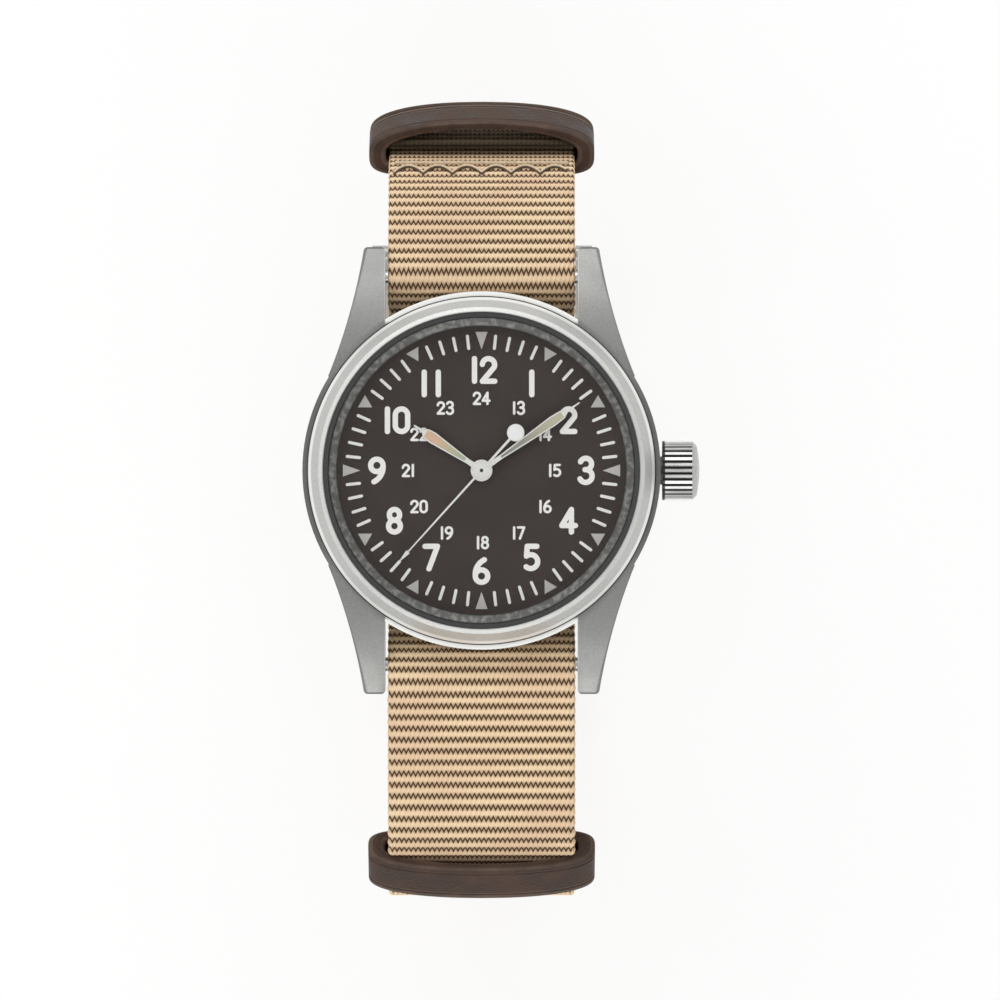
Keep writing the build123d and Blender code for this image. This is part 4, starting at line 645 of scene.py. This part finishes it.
# Over the spring bars
rise_angle, fall_angle, crest_angle = 50.0, 33.0, 36.0
bar_12, bar_6 = (bar_reach, bar_z), (-bar_reach, bar_z)
rise_at = shifted(bar_12, rise_angle, wrap_radius)
fall_at = shifted(bar_12, -fall_angle, wrap_radius)
under_12 = crossing((0, main_under_z), 0, rise_at, rise_angle)
over_12 = crossing(rise_at, rise_angle, fall_at, -fall_angle)
rise_at_6 = (-rise_at[0], rise_at[1])
crest_at = shifted(bar_6, -crest_angle, wrap_radius)
under_6 = (-under_12[0], main_under_z)
over_6 = crossing(rise_at_6, 180 - rise_angle, crest_at, 180 - crest_angle)

# Down both sides to the flat that it stands on
slope_end_share, crest_fall = 0.769, 10.0
flat_end_share, flat_start_share = 0.4, 0.195
side_12 = [loop_place(y_share, z_share, loop_reach_12)
           for y_share, z_share in ((0.8357, 0.0666), (0.897, 0.1416), (1.0, 0.3466))]
side_6 = [loop_place(-y_share, z_share, loop_reach_6)
          for y_share, z_share in ((0.812, -0.057), (0.8564, -0.0381), (0.892, -0.0115),
                                   (1.0, 0.148), (1.0, 0.4255), (0.954, 0.638), (0.765, 0.862))]
slope_end_12 = crossing(fall_at, -fall_angle, (loop_reach_12 * slope_end_share, 0), 90)
crest_6 = crossing(crest_at, 180 - crest_angle, side_6[0], crest_fall - 180)
flat_6 = (-loop_reach_6 * flat_end_share, strap_thickness / 2)
flat_12 = (loop_reach_12 * flat_start_share, strap_thickness / 2)

# Up again as the tail, outside the buckle, through the upper keeper
buckle_angle = 25.0
knee_share, shoulder_share = 0.845, 0.553
rim_step, keeper_height, plain_bow = 2.9, 5.8, 0.8
tail_reach = loop_reach_12 + layer_step + slip_gap
tail_knee = crossing(flat_12, buckle_angle, (tail_reach * knee_share, 0), 90)
tail_shoulder = loop_place(1, shoulder_share, tail_reach)
upper_run = heading(side_12[1], side_12[2])
rim_12 = ahead(side_12[1], upper_run, rim_step)
inner_12 = strap_thickness / 2 + 2 * slip_gap + leather_thickness
tail_side = (keeper_height - inner_12 - plain_bow - leather_thickness - slip_gap
             - strap_thickness / 2)
tail_end = shifted(rim_12, upper_run, tail_side)
tail_neck = crossing(tail_end, upper_run, (tail_reach, 0), 90)

# Around the buckle's bar, where the flap begins
pivot_radius, pivot_foot_share = 0.7, 0.67
flap_length, knee_bend, fold_share = 4.6, 8.0, 0.95
fold_radius = pivot_radius + slip_gap + strap_thickness / 2
pivot_foot = crossing(flat_12, buckle_angle, (tail_reach * pivot_foot_share, 0), 90)
pivot_at = shifted(pivot_foot, buckle_angle, layer_step + fold_radius)


def at_buckle(front, outward):
    """A point at the buckle: so far to the front of its bar and so far outwards."""
    return ahead(shifted(pivot_at, buckle_angle, -outward), buckle_angle, -front)


inner_knee = offset_corner(flat_12, tail_knee, tail_shoulder, layer_step)
inner_shoulder = crossing(inner_knee, heading(tail_knee, tail_shoulder), (loop_reach_12, 0), 90)
flap_end = at_buckle(-flap_length, fold_radius - layer_step)
flap_lean = asin(fold_radius / flap_length) + atan2(fold_radius - layer_step, flap_length)
flap_turn = at_buckle(fold_radius,
                      fold_radius - layer_step - (flap_length + fold_radius) * tan(flap_lean))
fold_turn = at_buckle(fold_radius, fold_radius)

main_corners = [flap_end, flap_turn, fold_turn, inner_knee, inner_shoulder, *reversed(side_12),
                slope_end_12, over_12, under_12, under_6, over_6, crest_6, *side_6, flat_6, flat_12,
                tail_knee, tail_shoulder, tail_neck, tail_end]
fold_bend, under_bend, crest_bend = fold_share * fold_radius, 2 * strap_thickness, 3 * strap_thickness
flat_bend_6, flat_bend_12 = 20.0, 9.0
# The largest radius at a corner, by the corner's place in the list
main_limits = {1: fold_bend, 2: fold_bend, 3: knee_bend, 9: wrap_radius, 10: under_bend,
               11: under_bend, 12: wrap_radius, 13: crest_bend, 21: flat_bend_6, 22: flat_bend_12,
               23: knee_bend + layer_step}

# The short layer, from the upper keeper to the lower one
rim_gap, rim_step_6, turn_share = 0.3, 0.75, 0.55
knee_shares = (0.788, 0.104)
short_knee_12 = loop_place(*knee_shares, loop_reach_12)
short_side_12 = offset_corner(*side_12, -layer_step)
short_end_12 = shifted(ahead(rim_12, upper_run, -rim_gap), upper_run, -layer_step)
lower_run = heading(side_6[2], side_6[3])
rim_6 = ahead(side_6[2], lower_run, rim_step_6)
short_corner_6 = offset_corner(*side_6[1:4], layer_step)
short_end_6 = ahead(short_corner_6, lower_run, keeper_length)
short_corners = [short_end_12, short_side_12, short_knee_12,
                 (loop_reach_12 * turn_share, short_under_z), (-bar_reach, short_under_z),
                 short_corner_6, short_end_6]
short_limits = {5: strap_thickness}


def route(corners, radii):
    """Straight runs and tangent arcs as (start, start heading, length, signed radius or None)."""
    pieces = []
    here = Vector(corners[0])
    last = len(corners) - 1
    for place in range(1, last + 1):
        corner = Vector(corners[place])
        arrive = (corner - Vector(corners[place - 1])).normalized()
        angle = atan2(arrive.y, arrive.x)
        if place == last:
            pieces.append((here, angle, (corner - here).length, None))
            break
        leave = (Vector(corners[place + 1]) - corner).normalized()
        turn = atan2(arrive.x * leave.y - arrive.y * leave.x, arrive.dot(leave))
        radius = radii[place - 1]
        cut = radius * tan(abs(turn) / 2)
        start = corner - arrive * cut
        pieces.append((here, angle, (start - here).length, None))
        pieces.append((start, angle, radius * abs(turn), radius if turn > 0 else -radius))
        here = corner + leave * cut
    return pieces


def along_route(pieces, distance):
    """(point, heading) at a distance along a route."""
    for start, turn, length, radius in pieces[:-1]:
        if distance <= length:
            break
        distance -= length
    else:
        start, turn, length, radius = pieces[-1]
    if radius is None:
        return start + Vector((cos(turn), sin(turn))) * distance, turn
    after = turn + distance / radius
    return start + radius * Vector((sin(after) - sin(turn), cos(turn) - cos(after))), after


def lifted(spot, turn, height):
    """The (y, z) of a place at a height over a point of a route with this heading."""
    return spot.x - sin(turn) * height, spot.y + cos(turn) * height


def route_length(pieces):
    """The whole length of a route."""
    return sum(length for _, _, length, _ in pieces)


def nearest_distance(pieces, point):
    """Distance along a route of the place nearest to a point."""
    step = 0.1
    target = Vector(point)
    distances = [step * count for count in range(int(route_length(pieces) / step))]
    return min(distances, key=lambda distance: (along_route(pieces, distance)[0] - target).length)


def strap_section(phase):
    """Outline of the strap's cross-section as (x, height), ribbed at this phase."""
    edge_out, edge_wave = 0.3, 0.14
    shoulder_out, shoulder_share = 0.22, 0.7
    swell = (1 - cos(2 * pi * phase)) / 2
    half_height = strap_thickness / 2 - rib_depth * (1 - swell)
    edge = half_strap - edge_out - edge_wave * (1 - swell)
    outline = []
    for side in (1, -1):
        for column in range(section_columns + 1):
            x = edge * (2 * column / section_columns - 1)
            outline.append((side * x, side * half_height))
        shoulder_x = side * (edge + shoulder_out)
        shoulder_height = side * half_height * shoulder_share
        outline.append((shoulder_x, shoulder_height))
        outline.append((side * (edge + edge_out), 0))
        outline.append((shoulder_x, -shoulder_height))
    return outline


def weave_strap(name, node, corners, limits, end_shade_reach, material):
    """A ribbed strap layer along its route, pinched at both ends and darkened there with painted
    shade.
    """
    pinched_share = 0.35
    pieces = route(corners, bend_radii(corners, limits))
    length = route_length(pieces)
    rows = round(length / rib_pitch) * rib_rows + 1
    points, run, across, end_shade = [], [], [], []
    for row in range(rows):
        share = row / (rows - 1)
        spot, turn = along_route(pieces, share * length)
        near_end = min(share, 1 - share) * length
        fullness = min(1.0, pinched_share + near_end / strap_thickness)
        for x, height in strap_section(row / rib_rows):
            points.append((x, *lifted(spot, turn, height * fullness)))
            run.append(row / rib_rows)
            across.append(x / thread_pitch)
            # How strongly painted shade darkens this point, from how near it lies to an end.
            end_shade.append(max(0.0, 1 - near_end / end_shade_reach) ** 0.5)
    size = len(strap_section(0))
    faces = tube_faces(rows, size)
    faces.append(tuple(range(size)))
    faces.append(tuple((rows - 1) * size + spot for spot in reversed(range(size))))
    piece = make_piece(name, points, faces, [material], "case",
                       attributes={"run": run, "across": across, "end_shade": end_shade})
    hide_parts(node)
    return pieces


def thread_curve(name, points, radius, material):
    """A sewn thread along a row of points."""
    data = bpy.data.curves.new(name, "CURVE")
    data.dimensions = "3D"
    data.bevel_depth = radius * MM
    data.bevel_resolution = 2
    data.resolution_u = 3
    spline = data.splines.new("NURBS")
    spline.points.add(len(points) - 1)
    for spot, (x, y, z) in zip(spline.points, points):
        spot.co = (x * MM, y * MM, z * MM, 1)
    spline.order_u = 3
    spline.use_endpoint_u = True
    data.materials.append(material)
    piece = bpy.data.objects.new(name, data)
    bpy.context.scene.collection.objects.link(piece)
    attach(piece, "case")


def stitch_row(name, pieces, distance, radius, material):
    """A scalloped row of stitches across the strap, at a distance along its route."""
    steps = 10
    pitch, bow = 2.9, 1.5
    lift, dip = -0.58, 0.1
    reach = half_strap - 0.6
    count = round(2 * reach / pitch)
    points = []
    for loop in range(count):
        for step in range(steps):
            share = step / steps
            rise = sin(pi * share)
            spot, turn = along_route(pieces, distance - bow * rise)
            points.append((-reach + (loop + share) * 2 * reach / count,
                           *lifted(spot, turn, lift - dip * min(1, 4 * rise))))
    thread_curve(name, points, radius, material)


def flat_seam(name, pieces, distance, material):
    """The pressed band of thread beside a stitch row."""
    lift, reach, radius = -0.55, 9.3, 0.24
    sway, sway_step = 0.08, 2.4
    count = 40
    points = []
    for step in range(count + 1):
        spot, turn = along_route(pieces, distance + sway * sin(step * sway_step))
        points.append((reach * (2 * step / count - 1), *lifted(spot, turn, lift)))
    thread_curve(name, points, radius, material)


# Leather keepers
def keeper_outline(side, half_width, inner, outer, bow):
    """The ring's outline across the strap as (x, height): bowed in front, rounded at the ends."""
    steps = 72
    front_sharpness, back_sharpness, height_sharpness = 0.5, 0.28, 0.6
    shoulder = outer - bow
    middle = (shoulder - inner) / 2
    half_height = (shoulder + inner) / 2
    outline = []
    for step in range(2 * steps):
        turn = pi - pi * step / steps
        front = turn > 0
        sharpness = front_sharpness if front else back_sharpness
        x = half_width * (1 if cos(turn) > 0 else -1) * abs(cos(turn)) ** sharpness
        crown = bow * max(0.0, 1 - (x / half_width) ** 2) if front else 0.0
        rise = half_height * abs(sin(turn)) ** height_sharpness
        outline.append((x, side * (middle + (rise if front else -rise) + crown)))
    return outline


def wall_profile(length):
    """The leather wall's section as (along the ring's axis, inwards), with round rims and creases."""
    round_edge, round_step, round_share = 0.24, 0.07, 0.3
    groove_place, groove_half, groove_depth = 0.95, 0.14, 0.1
    corners = []
    for start, end in ((0, length), (length, 0)):
        outer_side = start < end
        sign = 1 if outer_side else -1
        depth = 0 if outer_side else leather_thickness
        bend = sign * round_edge
        corners += [(start, depth + bend), (start + sign * round_step, depth + bend * round_share),
                    (start + sign * round_edge, depth)]
        if outer_side:
            for place in (groove_place, length - groove_place):
                corners += [(place - 2 * groove_half, 0), (place - groove_half, 0),
                            (place, groove_depth), (place + groove_half, 0),
                            (place + 2 * groove_half, 0)]
        corners += [(end - sign * round_edge, depth),
                    (end - sign * round_step, depth + bend * round_share), (end, depth + bend)]
    return corners


def leather_keeper(name, rim, run, inner, outer, bow, length, materials):
    """A leather ring around the strap layers, from its rim at (y, z) along a heading in degrees."""
    # Faces of the profile that take the paler leather, a painted highlight: rims, and the crease
    # beside the far rim
    highlight_faces = {0, 1, 8, 9, 11, 12, 19, 20}
    along_y, along_z = cos(radians(run)), sin(radians(run))
    side = 1 if along_z * rim[0] > 0 else -1
    outline = keeper_outline(side, keeper_half_width, inner, outer, bow)
    lining = keeper_outline(side, keeper_half_width - end_wall, inner - leather_thickness,
                            outer - leather_thickness, bow)
    profile = wall_profile(length)
    points = []
    for (x, height), (inner_x, inner_height) in zip(outline, lining):
        for along, depth in profile:
            share = depth / leather_thickness
            level = height + (inner_height - height) * share
            points.append((x + (inner_x - x) * share, rim[0] + level * along_z + along * along_y,
                           rim[1] - level * along_y + along * along_z))
    size = len(profile)
    faces = tube_faces(len(outline), size, closed=True)
    piece = make_piece(name, points, faces, materials, "case")
    for index, polygon in enumerate(piece.data.polygons):
        if index % size in highlight_faces:
            polygon.material_index = 1
    return piece


# Hands
def share_width(along, shares):
    """Half width share of a hand at a share of its reach."""
    for (a, wide_a), (b, wide_b) in zip(shares, shares[1:]):
        if a <= along <= b:
            return wide_a + (wide_b - wide_a) * (along - a) / (b - a)
    return 0.0


def crowned(name, outline, low, rise, material, body, inset=0.12):
    """A raised filling with a rounded rim from an outline of (x, y), on a flat seat."""
    # Each ring's (share of the inset, share of the rise)
    rings = ((0.0, 0.0), (0.0, 0.5), (0.35, 0.85), (1.0, 1.0))
    count = len(outline)
    centre = Vector((sum(x for x, y in outline) / count, sum(y for x, y in outline) / count))
    points = []
    for pull, lift in rings:
        for spot in range(count):
            here = Vector(outline[spot])
            before, after = Vector(outline[spot - 1]), Vector(outline[(spot + 1) % count])
            edge = (after - before).normalized()
            inward = Vector((-edge.y, edge.x))
            if (centre - here).dot(inward) < 0:
                inward = -inward
            place = here + inward * inset * pull
            points.append((place.x, place.y, low + rise * lift))
    faces = tube_faces(len(rings), count)
    faces.append(tuple(reversed(range(count))))
    faces.append(tuple((len(rings) - 1) * count + spot for spot in range(count)))
    return make_piece(name, points, faces, [material], body)


def turned_point(x, y, turn):
    """A point of a hand's own plane, turned to where the hand points."""
    angle = radians(turn)
    return (x * cos(angle) - y * sin(angle), x * sin(angle) + y * cos(angle))


def hand_inlay(name, node, reach, widest, turn, start, material, body):
    """Luminous filling along a hand's blade, from a share of its reach, inside the blade's rim."""
    rim, rise = 0.13, 0.06
    stations = [start, 0.35, 0.5, 0.62, 0.72, 0.78, 0.82]
    upper = [(reach * share, widest / 2 * share_width(share, hand_shares) - rim)
             for share in stations]
    outline = upper + [(x, -y) for x, y in reversed(upper)]
    outline = [turned_point(x, y, turn) for x, y in outline]
    return crowned(name, outline, hand_top[node] - inlay_seat, rise, material, body)


def ring_outline(radius, centre=(0, 0)):
    """A circle as a row of points."""
    count = 40
    turns = [2 * pi * k / count for k in range(count)]
    return [(centre[0] + radius * cos(turn), centre[1] + radius * sin(turn)) for turn in turns]


# Everything together
add_camera()
set_world()
add_floor()
# Name, place, size, and power in watts
add_lamp("lamp_12", (-0.08, 0.72, 0.62), (1.0, 0.62), 4.5)
add_lamp("lamp_6", (0.0, -0.74, 0.56), (0.9, 0.5), 3.5)
add_lamp("lamp_9", (-0.7, 0.1, 0.6), (0.4, 0.55), 0.9)

# The accents paint highlights on the lug and bezel edges, and paint shade on the case flanks, lug
# ends, lug flank edges, the bezel seam and the crown's hollows.
case_steel = blasted("case_steel", (0.22, 0.22, 0.213), 0.45, accents=(
    (case_flank_shade, (0.11, 0.11, 0.107)), (lug_inner_highlight, (0.82, 0.82, 0.79)),
    (lug_tip_shade, (0.06, 0.06, 0.058)), (lug_outer_shade, (0.09, 0.09, 0.088))))
bezel_steel = blasted("bezel_steel", (0.52, 0.52, 0.505), 0.42, accents=(
    (bezel_edge_highlight, (0.8, 0.8, 0.78)), (bezel_seam_shade, (0.05, 0.05, 0.05))))
crown_steel = brushed("crown_steel", (0.5, 0.5, 0.49), 0.34, along=(0.3, 6, 6),
                      accents=((knurl_shade, (0.012, 0.012, 0.012)),))
buckle_steel = brushed("buckle_steel", (0.5, 0.5, 0.49), 0.34)
plate_nickel = brushed("plate_nickel", (0.6, 0.58, 0.52), 0.32, along=(6, 0.3, 6))
works_steel = brushed("works_steel", (0.55, 0.55, 0.56), 0.25, along=(3, 3, 3))
wheel_brass = brushed("wheel_brass", (0.72, 0.5, 0.2), 0.28, along=(3, 3, 3))
hand_metal = blasted("hand_metal", (0.84, 0.84, 0.8), 0.3, depth=0.003)
numeral_white = printed("numeral_white", (1.0, 0.985, 0.95))
triangle_grey = printed("triangle_grey", (0.56, 0.55, 0.51), 0.7, grain=9.0)
minute_white = printed("minute_white", (0.95, 0.94, 0.9))
lume_white = printed("lume_white", (0.99, 1.0, 0.99))
pin_steel = printed("pin_steel", (0.03, 0.03, 0.03), 0.35)
weave = woven()
thread_tan = sewing("thread_tan", (0.85, 0.66, 0.43))
thread_pale = sewing("thread_pale", (0.72, 0.56, 0.38))
# A dark thread colour, used only for the stitches' painted shadow.
stitch_shadow = sewing("stitch_shadow", (0.1, 0.06, 0.03))
# The paler leather is a painted highlight on the keepers' rims and crease.
leathers = [hide("leather_brown", (0.05, 0.028, 0.019)), hide("leather_rim_highlight", (0.085, 0.056, 0.042))]

give(("case_middle", "case_back", "crown_tube"), case_steel)
give(("bezel",), bezel_steel)
give(("crown",), crown_steel)
give(("buckle_frame", "buckle_bar", "buckle_tang"), buckle_steel)
give(("crystal",), sapphire())
give(("crystal_gasket", "case_back_gasket", "crown_gasket"), rubber())
give(("flange_ring",), ring_paint())
give(("dial",), dial_paint())
give(("hour_hand", "minute_hand", "seconds_hand"), hand_metal)
give(("mainplate", "barrel_bridge", "train_bridge", "balance_cock", "pallet_bridge",
      "movement_ring"), plate_nickel)
give(("jewels",), ruby())
give(("barrel_drum", "barrel_cover", "centre_wheel", "third_wheel", "fourth_wheel", "minute_wheel",
      "hour_wheel", "balance_wheel"), wheel_brass)
give(("bridge_screws", "casing_clamps", "click_spring", "hairspring", "setting_jumper",
      "pivot_posts", "mainspring", "barrel_arbor", "ratchet_wheel", "ratchet_screw", "crown_wheel",
      "click", "escape_wheel", "pallet_fork", "cannon_pinion", "winding_stem", "sliding_pinion",
      "winding_pinion", "setting_lever", "yoke", "spring_bar_12", "spring_bar_6"), works_steel)
colour_markers(numeral_white, minute_white, triangle_grey)

# The last argument sets how far the painted shade reaches from each end of a strap layer.
main_route = weave_strap("strap_main", "main_strap", main_corners, main_limits, end_shade_reach=3.6,
                         material=weave)
weave_strap("strap_short", "short_strap", short_corners, short_limits, end_shade_reach=0.8,
            material=weave)
seam_point = (31.9, 40.9)
seam_at = nearest_distance(main_route, seam_point)
stitch_row("strap_stitches", main_route, seam_at + 0.9, radius=0.17, material=thread_tan)
# A thin dark row beside the stitches: their painted shadow.
stitch_row("strap_stitch_shade", main_route, seam_at + 1.2, radius=0.11, material=stitch_shadow)
flat_seam("strap_seam", main_route, seam_at - 1.5, thread_pale)

upper = leather_keeper("leather_keeper_12", rim_12, upper_run, inner_12, outer=4.5, bow=1.3,
                       length=keeper_length, materials=leathers)
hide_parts("keeper_upper")
inner_6 = strap_thickness / 2 + layer_step + slip_gap + leather_thickness
lower = leather_keeper("leather_keeper_6", rim_6, lower_run, inner_6, outer=2.3, bow=0.9,
                       length=keeper_length, materials=leathers)
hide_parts("keeper_lower")
spare_share = 0.395
spare_rim = loop_place(1, spare_share, loop_reach_12)
spare = leather_keeper("leather_keeper_buckle", spare_rim, -90, inner_12 + 2 * slip_gap,
                       outer=4.1, bow=1.0, length=4.2, materials=leathers)
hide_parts("keeper_buckle")

lume_hour = lume_strip("lume_hour", near=(0.46, 0.5, 0.33), far=(0.74, 0.5, 0.34), start=3.0,
                       end=6.6, turn=hour_turn)
lume_minute = lume_strip("lume_minute", near=(0.32, 0.31, 0.27), far=(0.56, 0.52, 0.38), start=4.0,
                         end=10.5, turn=minute_turn)
hand_inlay("hour_lume", "hour_hand", reach=8.65, widest=1.25, turn=hour_turn, start=0.24,
           material=lume_hour, body="hours")
hand_inlay("minute_lume", "minute_hand", reach=12.7, widest=1.1, turn=minute_turn, start=0.2,
           material=lume_minute, body="minutes")
seconds_seat = hand_top["seconds_hand"] - inlay_seat
counterweight_centre = turned_point(-5.4, 0, seconds_turn)
crowned("seconds_lume", ring_outline(0.86, counterweight_centre), seconds_seat, rise=0.07,
        material=lume_white, body="seconds")
crowned("hub_pin", ring_outline(0.2), seconds_seat, rise=0.05, material=pin_steel,
        body="seconds", inset=0.05)

bpy.context.view_layer.update()
